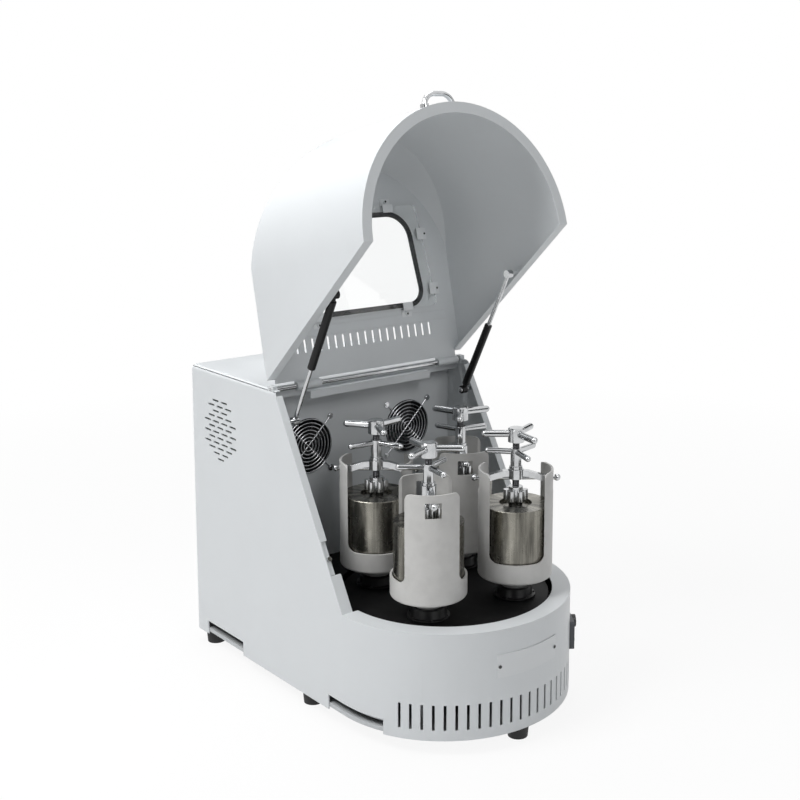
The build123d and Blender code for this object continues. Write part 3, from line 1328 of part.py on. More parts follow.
with BuildPart() as power_inlet:
    with BuildSketch(facing(BODY_REAR)):
        with Locations((-INLET_X, INLET_Z)):
            RectangleRounded(INLET_SIZE[0] + 2 * INLET_LAP, INLET_SIZE[1] + 2 * INLET_LAP, INLET_LAP)
    extrude(amount=INLET_PROUD)
    with BuildSketch(facing(BODY_REAR)):
        with Locations((-INLET_X, INLET_Z)):
            Rectangle(INLET_SIZE[0] - 2 * SEAT_GAP, INLET_SIZE[1] - 2 * SEAT_GAP)
    extrude(amount=-INLET_DEPTH)
    with BuildSketch(facing(BODY_REAR + INLET_PROUD)):
        with Locations((-INLET_X, INLET_Z)):
            RectangleRounded(*INLET_SOCKET, 3)
    extrude(amount=-INLET_DEPTH + INLET_PROUD, mode=Mode.SUBTRACT)
    with BuildSketch(facing(BODY_REAR - INLET_DEPTH)):
        with Locations((-INLET_X, INLET_Z)):
            with Locations((-7, -2), (0, 3), (7, -2)):
                Rectangle(*INLET_PIN)
    extrude(amount=INLET_DEPTH)
write(power_inlet.part, "power_inlet")

# ---------------------------------------------------------------- studs, bumpers and screws
with BuildPart() as casing_fasteners:
    for sign in (-1, 1):
        # lower studs of the struts, through the eyes
        inner_end = STRUT_X - STRUT_EYE_W / 2 - SEAT_GAP - STUD_HEAD_T
        with BuildSketch(side(sign * INNER_R)):
            with Locations((STRUT_LOW_Y, STRUT_LOW_Z)):
                Circle(STUD_R)
        extrude(amount=-sign * (INNER_R - inner_end))
        with BuildSketch(side(sign * inner_end)):
            with Locations((STRUT_LOW_Y, STRUT_LOW_Z)):
                Circle(STUD_HEAD_R)
        extrude(amount=sign * STUD_HEAD_T)
        with BuildSketch(side(sign * INNER_R)):
            with Locations((STRUT_LOW_Y, STRUT_LOW_Z)):
                Circle(STUD_BASE_R)
        extrude(amount=-sign * STUD_HEAD_T)
        # bumpers under the lid's flanges
        seat = (sign * (INNER_R - STRIP_W / 2), DRUM_Y + slope_y(BUMPER_Z) + STRIP_SET_BACK, BUMPER_Z)
        with BuildSketch(Plane(origin=seat, x_dir=(1, 0, 0), z_dir=(0, -SLOPE_RISE, SLOPE_RUN))):
            Circle(BUMPER_R)
        extrude(amount=STRIP_SET_BACK * SLOPE_RISE / SLOPE_L + LID_GAP - SEAT_GAP)
        # screws of the access plate
        plane = round_drum(sign * PLATE_SCREW_DEG, DRUM_R + COVER_T, PLATE_MID)
        with BuildSketch(plane):
            Circle(SCREW_HEAD_R)
        extrude(amount=SCREW_HEAD_H)
        with BuildSketch(plane):
            Circle(PLATE_SCREW_R)
        extrude(amount=-COVER_T - WALL - 2)
    # screws of the fans and their guards
    for x in (-FAN_X, FAN_X):
        with BuildSketch(facing(EAR_Y)):
            with Locations((x, FAN_Z)):
                with Locations(*FAN_HOLES):
                    Circle(FAN_HEAD_R)
        extrude(amount=-SCREW_HEAD_H)
        with BuildSketch(facing(EAR_Y)):
            with Locations((x, FAN_Z)):
                with Locations(*FAN_HOLES):
                    Circle(FAN_SCREW_R)
        extrude(amount=FAN_FRONT_Y + FAN_DEPTH + 3 - EAR_Y)
write(casing_fasteners.part, "casing_fasteners")
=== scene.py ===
"""Dresses the planetary ball mill: finishes for its nodes, small detail pieces, and a studio."""
import json
from math import cos, pi, radians, sin

import bpy
from bpy.props import FloatProperty, FloatVectorProperty, IntProperty, PointerProperty
from mathutils import Matrix, Vector


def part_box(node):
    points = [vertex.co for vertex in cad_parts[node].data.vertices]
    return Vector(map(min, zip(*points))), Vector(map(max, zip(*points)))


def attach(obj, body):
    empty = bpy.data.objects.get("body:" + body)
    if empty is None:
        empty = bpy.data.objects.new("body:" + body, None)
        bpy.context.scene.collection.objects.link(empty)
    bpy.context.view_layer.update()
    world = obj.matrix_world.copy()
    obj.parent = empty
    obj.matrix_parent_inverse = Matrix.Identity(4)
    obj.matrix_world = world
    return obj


bl_info = {
    "name": "Planetary ball mill",
    "version": (1, 0, 0),
    "blender": (4, 5, 0),
    "location": "View3D > Sidebar > Ball Mill",
    "description": "Finishes, detail pieces and studio for a bench planetary ball mill",
    "category": "Object",
}

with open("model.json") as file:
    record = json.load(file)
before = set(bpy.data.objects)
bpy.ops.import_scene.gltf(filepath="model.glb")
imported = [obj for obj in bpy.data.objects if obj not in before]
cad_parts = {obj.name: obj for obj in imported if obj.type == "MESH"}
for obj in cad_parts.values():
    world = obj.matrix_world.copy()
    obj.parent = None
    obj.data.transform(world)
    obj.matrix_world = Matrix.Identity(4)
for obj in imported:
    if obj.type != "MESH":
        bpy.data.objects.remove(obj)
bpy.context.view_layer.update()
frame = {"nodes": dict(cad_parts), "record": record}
NODES = frame["nodes"]
SLOT_OF = {row["node"]: row["material_slot"] for row in frame["record"]["subparts"]}

# ---- places that the CAD fixes, in metres, degrees round the drum from its front
DRUM_Y = -0.148
DRUM_R = 0.235
STATIONS = (1, 2, 3, 4)
TABLE_TOP = 0.212
# one clamp screw, and the heights where its node and the sleeve's change metal
SCREW_R = 0.006
FOOT_TOP = 0.4213
HUB_R = 0.0235
HUB_LOW = 0.2105
# the control panel, with the knob and the display measured from its middle
PANEL_DEG = 56.0
PANEL_Z = 0.127
PANEL_FACE_R = 0.240
KNOB_PLACE = (0.026, 0.0)
DISPLAY_PLACE = (-0.013, 0.0105)
# the skirts behind the two front notches: a straight stretch and then an arc
SKIRT_R = 0.2225
SKIRT_WALL = 0.0015
SKIRT_HEIGHTS = (0.0465, 0.078)
SKIRT_STRAIGHT = 0.075
SKIRT_SWEEP_DEG = 28
# the access plate's two screws, and the middle of the side vents
PLATE_SCREWS_DEG = (-15.9, 15.9)
PLATE_SCREW_Z = 0.156
PLATE_SCREW_FACE_R = DRUM_R + 0.0035
VENT_Y = DRUM_Y + 0.412
VENT_Z = 0.471
VENT_FACE_X = DRUM_R - 0.0026
# the hood, shut: its rear plate's underside and the window clips as (x, y from the drum, turn)
HINGE = Vector((0.0, DRUM_Y + 0.228, 0.586))
HOOD_LIFT = radians(103.0)
PLATE_UNDER = 0.5875
HEM_Y = DRUM_Y + 0.131
CLIP_PLACES = (
    (0.1669, -0.038, 0), (0.1801, 0.076, 0), (0.090, -0.098, -90), (0.107, 0.110, 90),
    (-0.1669, -0.038, 180), (-0.1801, 0.076, 180), (-0.090, -0.098, 270), (-0.107, 0.110, 90),
)
CLIP_SCREW_REACH = 0.01075
CLIP_SCREW_DROP = 0.00502

# ---- the studio
CAMERA_AT = (-1.4978, -1.9563, 1.1424)
CAMERA_TURN_DEG = (90 - 8.9, -0.3, -40.5)
LENS_MM = 58.95
LENS_SHIFT = (-0.083, -0.134)
FLOOR_SIZE = 60
# lamps as (name, place, aim, size, power)
LAMPS = (
    ("key", (-1.8, 0.15, 2.8), (0, 0, 0.7), 1.3, 66.0),
    ("top", (0.3, 0.6, 3.0), (0, 0, 0.4), 1.6, 32.0),
    ("front", (-0.4, -2.6, 2.5), (0, 0, 0.6), 1.2, 20.0),
)
# dark cards that only polished metal reflects, as (degrees round the drum, width, low, high)
CARD_DISTANCE = 3.2
CARDS = (
    (-41.0, 2.3, 0.0, 3.2),
    (28.0, 1.1, 0.0, 3.0),
    (-104.0, 0.9, 0.0, 3.0),
    (96.0, 1.4, 0.0, 3.0),
    (160.0, 0.8, 0.0, 2.6),
    (-150.0, 0.8, 0.0, 2.6),
)


def station_axis(number):
    """The upright axis of one jar station, from the middle of its jar."""
    low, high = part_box(f"jar_{number}")
    return (low.x + high.x) / 2, (low.y + high.y) / 2


# ------------------------------------------------------------------ settings
def colour(name, description, value):
    return FloatVectorProperty(
        name=name, description=description, subtype="COLOR", size=3, min=0, max=1, default=value
    )


def length(name, description, value):
    return FloatProperty(name=name, description=description, unit="LENGTH", default=value, min=0)


class MillColours(bpy.types.PropertyGroup):
    """Paints and bare finishes."""

    cabinet: colour("Cabinet", "Powder coat on the casing and the hood", (0.71, 0.735, 0.75))
    sleeve: colour("Sleeves", "Warm satin coat on the jar sleeves", (0.60, 0.595, 0.58))
    tub: colour("Tub", "Black coat inside the drum", (0.004, 0.004, 0.0045))
    chassis: colour("Chassis", "Pale coat on the base frame", (0.55, 0.57, 0.58))
    chrome: colour("Chrome", "Polished clamps and rods", (0.60, 0.61, 0.62))
    jar: colour("Jars", "Turned stainless steel", (0.23, 0.222, 0.195))
    steel: colour("Steel", "Machined shafts and gears", (0.42, 0.42, 0.42))
    oxide: colour("Black oxide", "Threaded rods and strut tubes", (0.022, 0.023, 0.026))
    strut: colour("Struts", "Black paint on the gas struts", (0.006, 0.006, 0.0065))
    rubber: colour("Rubber", "Feet, belt and window seal", (0.014, 0.014, 0.015))
    fan: colour("Fans", "Moulded fan frames and blades", (0.016, 0.016, 0.018))
    panel: colour("Panel", "Control panel moulding", (0.055, 0.06, 0.068))
    plate: colour("Access plate", "Satin plate on the drum", (0.74, 0.762, 0.775))
    motor: colour("Motor", "Hammered motor paint", (0.07, 0.10, 0.14))
    start: colour("Start button", "Green plastic", (0.02, 0.25, 0.05))
    stop: colour("Stop button", "Red plastic", (0.42, 0.015, 0.012))
    print_ink: colour("Print", "Marks on the control panel", (0.72, 0.73, 0.73))
    floor: colour("Floor", "Floor under the machine", (0.90, 0.90, 0.90))


class MillSizes(bpy.types.PropertyGroup):
    """Sizes of the detail pieces."""

    thread_pitch: length("Thread pitch", "Rise of the clamp thread in one turn", 0.003)
    thread_proud: length("Thread height", "How far the thread stands off its rod", 0.0005)
    thread_low: length("Thread start", "Height of the lowest thread turn", 0.4235)
    thread_high: length("Thread end", "Height of the highest thread turn", 0.503)
    dial_radius: length("Dial radius", "Inner end of the speed marks", 0.0145)
    dial_marks: IntProperty(name="Dial marks", description="Speed marks on the dial", default=11, min=3)
    bearing_top: length("Bearing cap top", "Height of the bearing caps' upper edge", 0.2335)
    digit_height: length("Digit height", "Figures round the dial", 0.0032)


# ------------------------------------------------------------------ shader nodes
def feed(tree, socket, value):
    """Links an output to the socket, or sets the socket to a constant."""
    if isinstance(value, bpy.types.NodeSocket):
        tree.links.new(value, socket)
    else:
        socket.default_value = value


def put(tree, node, **sockets):
    """Feeds inputs by name, with _ for a space, or by number, as n0, n1 and so on."""
    for key, value in sockets.items():
        numbered = key[0] == "n" and key[1:].isdigit()
        feed(tree, node.inputs[int(key[1:]) if numbered else key.replace("_", " ")], value)
    return node


def new(tree, kind, settings=None, **sockets):
    node = tree.nodes.new("ShaderNode" + kind)
    for key, value in (settings or {}).items():
        setattr(node, key, value)
    return put(tree, node, **sockets)


def math_node(tree, operation, *values):
    node = tree.nodes.new("ShaderNodeMath")
    node.operation = operation
    for place, value in enumerate(values):
        feed(tree, node.inputs[place], value)
    return node.outputs[0]


def remap(tree, value, low, high, to_low=0.0, to_high=1.0):
    node = new(tree, "MapRange", n0=value)
    for place, number in enumerate((low, high, to_low, to_high), start=1):
        node.inputs[place].default_value = number
    return node.outputs[0]


def blend_colour(tree, share, first, second):
    node = new(tree, "Mix", {"data_type": "RGBA"})
    for place, value in ((0, share), (6, first), (7, second)):
        feed(tree, node.inputs[place], value)
    return node.outputs[2]


def new_group(name, inputs, outputs):
    tree = bpy.data.node_groups.new(name, "ShaderNodeTree")
    for title, kind in inputs:
        tree.interface.new_socket(title, in_out="INPUT", socket_type="NodeSocket" + kind)
    for title, kind in outputs:
        tree.interface.new_socket(title, in_out="OUTPUT", socket_type="NodeSocket" + kind)
    given = tree.nodes.new("NodeGroupInput").outputs
    return tree, given, tree.nodes.new("NodeGroupOutput").inputs


def grain_group():
    """Fine orange-peel height and a slow mottle."""
    tree, given, out = new_group(
        "grain",
        [("Vector", "Vector"), ("Fine scale", "Float"), ("Slow scale", "Float")],
        [("Height", "Float"), ("Mottle", "Float")],
    )
    fine = new(tree, "TexNoise", Vector=given["Vector"], Scale=given["Fine scale"], Detail=2.0)
    slow = new(tree, "TexNoise", Vector=given["Vector"], Scale=given["Slow scale"], Detail=4.0)
    tree.links.new(fine.outputs[0], out["Height"])
    tree.links.new(slow.outputs[0], out["Mottle"])
    return tree


def edge_group():
    """A rounded normal and a mask along hard edges."""
    tree, given, out = new_group(
        "worn_edges", [("Radius", "Float")], [("Normal", "Vector"), ("Edge", "Float")]
    )
    bevel = new(tree, "Bevel", {"samples": 4}, Radius=given["Radius"])
    facing = new(tree, "NewGeometry")
    dot = new(
        tree, "VectorMath", {"operation": "DOT_PRODUCT"},
        n0=bevel.outputs[0], n1=facing.outputs["Normal"],
    )
    tree.links.new(bevel.outputs[0], out["Normal"])
    tree.links.new(remap(tree, dot.outputs["Value"], 0.985, 0.80), out["Edge"])
    return tree


def turned_group():
    """Tool lines round an axis, and soft light and dark streaks that run along it, which are painted
    reflections.
    """
    tree, given, out = new_group(
        "turned",
        [("Vector", "Vector"), ("Bands", "Float"), ("Lines", "Float")],
        [("Line", "Float"), ("Band", "Float"), ("Blotch", "Float")],
    )
    parts = new(tree, "SeparateXYZ", n0=given["Vector"])
    flat = new(tree, "CombineXYZ", X=parts.outputs["X"], Y=parts.outputs["Y"])
    unit = new(tree, "VectorMath", {"operation": "NORMALIZE"}, n0=flat.outputs[0])
    lifted = new(tree, "CombineXYZ", Z=math_node(tree, "MULTIPLY", parts.outputs["Z"], 1.2))
    around = new(tree, "VectorMath", {"operation": "ADD"}, n0=unit.outputs[0], n1=lifted.outputs[0])
    # light and dark streaks by the angle round the axis: painted reflections of the surround
    reflection_streak = new(
        tree, "TexNoise", Vector=around.outputs[0], Scale=given["Bands"], Detail=5.0, Roughness=0.62
    )
    rise = new(tree, "CombineXYZ", Z=parts.outputs["Z"])
    line = new(tree, "TexNoise", Vector=rise.outputs[0], Scale=given["Lines"], Detail=2.0)
    blotch = new(tree, "TexNoise", Vector=given["Vector"], Scale=55.0, Detail=6.0)
    tree.links.new(line.outputs[0], out["Line"])
    tree.links.new(reflection_streak.outputs[0], out["Band"])
    tree.links.new(blotch.outputs[0], out["Blotch"])
    return tree


def dust_group():
    """Settled dust on faces that look up."""
    tree, given, out = new_group(
        "dust", [("Vector", "Vector"), ("Amount", "Float")], [("Mask", "Float")]
    )
    facing = new(tree, "NewGeometry")
    up = new(tree, "SeparateXYZ", n0=facing.outputs["Normal"])
    level = remap(tree, up.outputs["Z"], 0.35, 0.95)
    patch = new(tree, "TexNoise", Vector=given["Vector"], Scale=38.0, Detail=7.0, Roughness=0.7)
    speck = remap(tree, patch.outputs[0], 0.42, 0.68)
    both = math_node(tree, "MULTIPLY", level, speck)
    tree.links.new(math_node(tree, "MULTIPLY", both, given["Amount"]), out["Mask"])
    return tree


EFFECTS = {}


def effect(tree, name, **sockets):
    if name not in EFFECTS:
        EFFECTS[name] = {
            "grain": grain_group, "worn_edges": edge_group, "turned": turned_group, "dust": dust_group
        }[name]()
    node = tree.nodes.new("ShaderNodeGroup")
    node.node_tree = EFFECTS[name]
    return put(tree, node, **sockets)


def new_material(name):
    material = bpy.data.materials.new(name)
    material.use_nodes = True
    tree = material.node_tree
    shader = tree.nodes["Principled BSDF"]
    where = new(tree, "TexCoord").outputs["Object"]
    return material, tree, shader, where


def rgba(value, factor=1.0):
    return (*[min(1.0, channel * factor) for channel in value], 1.0)


def bumped(tree, height, rounded, strength, distance=0.0003):
    """The rounded normal with a fine height on it."""
    return new(
        tree, "Bump", Strength=strength, Distance=distance, Height=height, Normal=rounded.outputs["Normal"]
    ).outputs[0]


def coat(
    name, paint, rough=0.34, peel=0.10, fine=1500.0, spread=0.03,
    dust=0.0, edge=0.0006, bare=None, shine=0.45,
):
    """Sprayed or powder-coated metal; bare shows along worn edges."""
    material, tree, shader, where = new_material(name)
    grain = effect(tree, "grain", Vector=where, Fine_scale=fine, Slow_scale=7.0)
    rounded = effect(tree, "worn_edges", Radius=edge)
    tone = blend_colour(tree, grain.outputs["Mottle"], rgba(paint, 1 - spread), rgba(paint, 1 + spread))
    if bare:
        worn = remap(tree, grain.outputs["Mottle"], 0.5, 0.7, 0, 0.5)
        rub = math_node(tree, "MULTIPLY", rounded.outputs["Edge"], worn)
        tone = blend_colour(tree, rub, tone, rgba(bare))
    if dust:
        settled = effect(tree, "dust", Vector=where, Amount=dust)
        tone = blend_colour(tree, settled.outputs["Mask"], tone, (0.30, 0.29, 0.27, 1))
    normal = bumped(tree, grain.outputs["Height"], rounded, peel, 0.0004)
    put(
        tree, shader, Base_Color=tone, Normal=normal,
        Roughness=remap(tree, grain.outputs["Mottle"], 0.3, 0.7, rough - 0.04, rough + 0.05),
    )
    shader.inputs["Specular IOR Level"].default_value = shine
    return material


def polished(name, metal, rough=0.09, grime=0.35, edge=0.0004):
    """Plated or polished steel with faint handling marks."""
    material, tree, shader, where = new_material(name)
    marks = effect(tree, "grain", Vector=where, Fine_scale=420.0, Slow_scale=60.0)
    rounded = effect(tree, "worn_edges", Radius=edge)
    smudge = remap(tree, marks.outputs["Mottle"], 0.35, 0.75, 0, grime)
    tone = blend_colour(tree, smudge, rgba(metal), rgba(metal, 0.55))
    normal = bumped(tree, marks.outputs["Height"], rounded, 0.06)
    put(
        tree, shader, Base_Color=tone, Normal=normal, Metallic=1.0,
        Roughness=remap(tree, marks.outputs["Mottle"], 0.3, 0.7, rough, rough + 0.12),
    )
    return material


def turned(name, metal, axis, rough=0.24, bands=3.4):
    """Lathe-turned stainless steel about an upright axis, with painted reflection streaks along it."""
    material, tree, shader, where = new_material(name)
    centred = new(tree, "Mapping", Vector=where)
    centred.inputs["Location"].default_value = (-axis[0], -axis[1], 0)
    # bands sets how close together the painted reflection streaks lie
    cut = effect(tree, "turned", Vector=centred.outputs[0], Bands=bands, Lines=2600.0)
    rounded = effect(tree, "worn_edges", Radius=0.0006)
    # the steel's colour swings from dark to light with the streaks: painted reflections
    reflection_streak = remap(tree, cut.outputs["Band"], 0.36, 0.62)
    tone = blend_colour(tree, reflection_streak, rgba(metal, 0.42), rgba(metal, 1.5))
    stain = remap(tree, cut.outputs["Blotch"], 0.5, 0.8, 0, 0.12)
    tone = blend_colour(tree, stain, tone, (0.16, 0.14, 0.11, 1))
    normal = bumped(tree, cut.outputs["Line"], rounded, 0.22)
    put(
        tree, shader, Base_Color=tone, Normal=normal, Metallic=1.0,
        Roughness=remap(tree, cut.outputs["Blotch"], 0.3, 0.7, rough - 0.05, rough + 0.1),
    )
    shader.inputs["Anisotropic"].default_value = 0.35
    return material


def moulded(name, plastic, rough=0.42, grain=0.15, fine=1900.0, edge=0.0005, dust=0.0, shine=0.5):
    """Moulded plastic or rubber with a fine spark grain."""
    material, tree, shader, where = new_material(name)
    skin = effect(tree, "grain", Vector=where, Fine_scale=fine, Slow_scale=25.0)
    rounded = effect(tree, "worn_edges", Radius=edge)
    tone = blend_colour(tree, skin.outputs["Mottle"], rgba(plastic, 0.85), rgba(plastic, 1.2))
    pale = rgba([channel + 0.06 for channel in plastic])
    tone = blend_colour(tree, math_node(tree, "MULTIPLY", rounded.outputs["Edge"], 0.25), tone, pale)
    if dust:
        settled = effect(tree, "dust", Vector=where, Amount=dust)
        tone = blend_colour(tree, settled.outputs["Mask"], tone, (0.25, 0.24, 0.225, 1))
    normal = bumped(tree, skin.outputs["Height"], rounded, grain)
    put(
        tree, shader, Base_Color=tone, Normal=normal,
        Roughness=remap(tree, skin.outputs["Mottle"], 0.3, 0.7, rough - 0.05, rough + 0.07),
    )
    shader.inputs["Specular IOR Level"].default_value = shine
    return material


def split_at_height(name, below, above, height):
    """Two finishes parted at a height; below and above are (colour, metallic, roughness)."""
    material, tree, shader, where = new_material(name)
    parts = new(tree, "SeparateXYZ", n0=where)
    upper = math_node(tree, "GREATER_THAN", parts.outputs["Z"], height)
    marks = effect(tree, "grain", Vector=where, Fine_scale=900.0, Slow_scale=45.0)
    rounded = effect(tree, "worn_edges", Radius=0.0005)
    tone = blend_colour(tree, upper, rgba(below[0]), rgba(above[0]))
    smudge = remap(tree, marks.outputs["Mottle"], 0.4, 0.8, 0, 0.25)
    tone = blend_colour(tree, smudge, tone, rgba(above[0], 0.6))
    normal = bumped(tree, marks.outputs["Height"], rounded, 0.1)
    rough = math_node(tree, "MULTIPLY_ADD", upper, above[2] - below[2], below[2])
    rough = math_node(tree, "MULTIPLY_ADD", marks.outputs["Mottle"], 0.10, rough)
    metallic = math_node(tree, "MULTIPLY_ADD", upper, above[1] - below[1], below[1])
    put(tree, shader, Base_Color=tone, Normal=normal, Roughness=rough, Metallic=metallic)
    return material


def clear_pane(name):
    """Clear acrylic sheet with the faintest wipe marks."""
    material, tree, shader, where = new_material(name)
    wipe = effect(tree, "grain", Vector=where, Fine_scale=160.0, Slow_scale=12.0)
    put(
        tree, shader, Base_Color=(0.985, 0.995, 0.995, 1), IOR=1.49,
        Roughness=remap(tree, wipe.outputs["Mottle"], 0.4, 0.8, 0.01, 0.05),
    )
    shader.inputs["Transmission Weight"].default_value = 1.0
    return material


# ------------------------------------------------------------------ modelling helpers
def fresh(name):
    """Names the active object and its mesh."""
    piece = bpy.context.object
    piece.name = name
    piece.data.name = name
    return piece


def settle(piece):
    """Puts the piece's place into its mesh, so that its object sits at the origin."""
    piece.data.transform(piece.matrix_world)
    piece.matrix_world = Matrix.Identity(4)
    return piece


def only(*pieces):
    bpy.ops.object.select_all(action="DESELECT")
    for piece in pieces:
        piece.select_set(True)
    bpy.context.view_layer.objects.active = pieces[0]


def apply_modifier(piece, kind, **settings):
    only(piece)
    modifier = piece.modifiers.new(kind.lower(), kind)
    for key, value in settings.items():
        setattr(modifier, key, value)
    bpy.ops.object.modifier_apply(modifier=modifier.name)


def joined(pieces, name):
    only(*pieces)
    if len(pieces) > 1:
        bpy.ops.object.join()
    return settle(fresh(name))


def closed(merge, sides):
    """In edit mode: merges double points, fills open rings and turns the faces outwards."""
    bpy.ops.mesh.select_all(action="SELECT")
    bpy.ops.mesh.remove_doubles(threshold=merge)
    bpy.ops.mesh.fill_holes(sides=sides)
    bpy.ops.mesh.normals_make_consistent(inside=False)
    bpy.ops.object.mode_set(mode="OBJECT")


def smooth(piece, angle=35.0):
    only(piece)
    bpy.ops.object.shade_smooth_by_angle(angle=radians(angle))


def dressed(piece, material, body):
    piece.data.materials.clear()
    piece.data.materials.append(material)
    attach(piece, body)
    return piece


def placed(piece, matrix, name):
    """A copy of the piece with its own mesh, moved by the matrix."""
    twin = piece.copy()
    twin.data = piece.data.copy()
    twin.name = name
    bpy.context.scene.collection.objects.link(twin)
    twin.data.transform(matrix)
    return twin


def lathe(name, rings, hollow=False, vertices=48):
    """A turned shape about z, drawn through rings of (radius, height)."""
    bpy.ops.object.select_all(action="DESELECT")
    radius, height = rings[0]
    bpy.ops.mesh.primitive_circle_add(
        vertices=vertices, radius=radius, fill_type="NOTHING", location=(0, 0, height)
    )
    piece = settle(fresh(name))
    bpy.ops.object.mode_set(mode="EDIT")
    bpy.ops.mesh.select_all(action="SELECT")
    for next_radius, next_height in rings[1:] + (rings[:1] if hollow else []):
        rise = next_height - height
        bpy.ops.mesh.extrude_region_move(TRANSFORM_OT_translate={"value": (0, 0, rise)})
        share = next_radius / radius
        bpy.ops.transform.resize(value=(share, share, 1), center_override=(0, 0, next_height))
        radius, height = next_radius, next_height
    closed(merge=0.000005, sides=0)
    return piece


def rounded_bar(name, size, corner, matrix):
    """A bar with rounded edges, set in its place by the matrix."""
    bpy.ops.object.select_all(action="DESELECT")
    bpy.ops.mesh.primitive_cube_add(size=1)
    bar = fresh(name)
    bar.data.transform(Matrix.Diagonal((*size, 1)))
    apply_modifier(bar, "BEVEL", width=corner, segments=3, limit_method="ANGLE")
    bar.data.transform(matrix)
    return bar


def on_open_hood(matrix):
    """Swings a place on the shut hood to where the hood stands open."""
    swing = Matrix.Rotation(-HOOD_LIFT, 4, "X")
    return Matrix.Translation(HINGE) @ swing @ Matrix.Translation(-HINGE) @ matrix


def drum_frame(swing, radius, height, across=0.0):
    """The matrix of a place at an angle round the drum, its z pointing out and its x across."""
    a = radians(swing)
    right = Vector((cos(a), sin(a), 0))
    out = Vector((sin(a), -cos(a), 0))
    place = Vector((0, DRUM_Y, height)) + radius * out + across * right
    return Matrix.Translation(place) @ Matrix((right, (0, 0, 1), out)).transposed().to_4x4()


def panel_frame(across, up, proud=0.0):
    """The matrix of a place on the control panel's face."""
    return drum_frame(PANEL_DEG, PANEL_FACE_R + proud, PANEL_Z + up, across)


# ------------------------------------------------------------------ operators
class MILL_OT_finishes(bpy.types.Operator):
    """Gives every CAD node its finish"""

    bl_idname = "mill.finishes"
    bl_label = "Finishes"

    def execute(self, context):
        paint = context.scene.mill_colours
        by_slot = {
            "white_enamel": coat("powder_coat", paint.cabinet, rough=0.33, bare=(0.5, 0.5, 0.5)),
            "black_enamel": coat(
                "tub_coat", paint.tub, rough=0.55, peel=0.2, dust=0.02, spread=0.2, shine=0.15
            ),
            "base_steel": coat(
                "chassis_coat", paint.chassis, rough=0.5, peel=0.25, dust=0.2, bare=(0.4, 0.4, 0.4)
            ),
            "rubber": moulded("rubber", paint.rubber, rough=0.62, grain=0.35, fine=700.0),
            "polished_steel": polished("chrome", paint.chrome),
            "bare_steel": polished("machined_steel", paint.steel, rough=0.26, grime=0.6),
            "black_oxide": moulded("strut_black", paint.strut, rough=0.34, grain=0.05, shine=0.3),
            "fan_plastic": moulded("fan_plastic", paint.fan, rough=0.4, grain=0.2, dust=0.15),
            "guard_wire": polished("plated_wire", (0.62, 0.63, 0.65), rough=0.14),
            "window_glass": clear_pane("window_acrylic"),
            "panel_plastic": moulded("panel_moulding", paint.panel, rough=0.4, grain=0.25),
            "knob_plastic": moulded("knob_plastic", (0.012, 0.012, 0.013), rough=0.22, grain=0.04),
            "green_button": moulded("start_green", paint.start, rough=0.24, grain=0.04),
            "red_button": moulded("stop_red", paint.stop, rough=0.24, grain=0.04),
            "plate_aluminium": coat("satin_plate", paint.plate, rough=0.3, peel=0.05),
            "motor_paint": coat(
                "motor_hammer", paint.motor, rough=0.36, peel=0.8, fine=260.0, spread=0.12
            ),
            "inlet_plastic": moulded("inlet_plastic", (0.010, 0.010, 0.011), rough=0.45, grain=0.2),
        }
        special = {
            "lid_fittings": coat("clip_coat", (0.80, 0.82, 0.83), rough=0.4, peel=0.1, bare=(0.4, 0.4, 0.4)),
        }
        rod = split_at_height(
            "rod_and_foot", (tuple(paint.chrome), 1.0, 0.12), (tuple(paint.oxide), 0.6, 0.34), FOOT_TOP
        )
        sleeve = split_at_height(
            "sleeve_and_gear", (tuple(paint.steel), 1.0, 0.3), (tuple(paint.sleeve), 0.0, 0.36), HUB_LOW
        )
        for number in STATIONS:
            steel = turned(f"turned_steel_{number}", paint.jar, station_axis(number))
            special[f"jar_{number}"] = special[f"jar_lid_{number}"] = steel
            special[f"clamp_screw_{number}"] = rod
            special[f"sleeve_{number}"] = sleeve
        for name, node in NODES.items():
            material = special.get(name) or by_slot[SLOT_OF[name]]
            node.data.materials.clear()
            node.data.materials.append(material)
        return {"FINISHED"}


class MILL_OT_threads(bpy.types.Operator):
    """Winds a thread round each clamp screw"""

    bl_idname = "mill.threads"
    bl_label = "Clamp threads"

    def execute(self, context):
        sizes = context.scene.mill_sizes
        pitch = sizes.thread_pitch
        turns = int((sizes.thread_high - sizes.thread_low) / pitch)
        middle = (SCREW_R, 0, sizes.thread_low)
        bpy.ops.object.select_all(action="DESELECT")
        bpy.ops.mesh.primitive_circle_add(
            vertices=4, radius=1.0, fill_type="NOTHING", location=middle, rotation=(radians(90), 0, 0)
        )
        thread = settle(fresh("thread_pattern"))
        bpy.ops.object.mode_set(mode="EDIT")
        bpy.ops.mesh.select_all(action="SELECT")
        bpy.ops.transform.resize(
            value=(sizes.thread_proud, 1, pitch * 0.42), center_override=middle
        )
        bpy.ops.object.mode_set(mode="OBJECT")
        apply_modifier(
            thread, "SCREW", axis="Z", steps=24, render_steps=24, iterations=turns,
            screw_offset=pitch, angle=2 * pi, use_merge_vertices=False,
        )
        only(thread)
        bpy.ops.object.mode_set(mode="EDIT")
        closed(merge=0.00001, sides=4)
        smooth(thread, 40)
        metal = polished("thread_oxide", (0.10, 0.10, 0.105), rough=0.25, grime=0.5, edge=0.0002)
        for number in STATIONS:
            x, y = station_axis(number)
            twin = placed(thread, Matrix.Translation((x, y, 0)), f"clamp_thread_{number}")
            dressed(twin, metal, f"screw_{number}")
        bpy.data.objects.remove(thread)
        return {"FINISHED"}


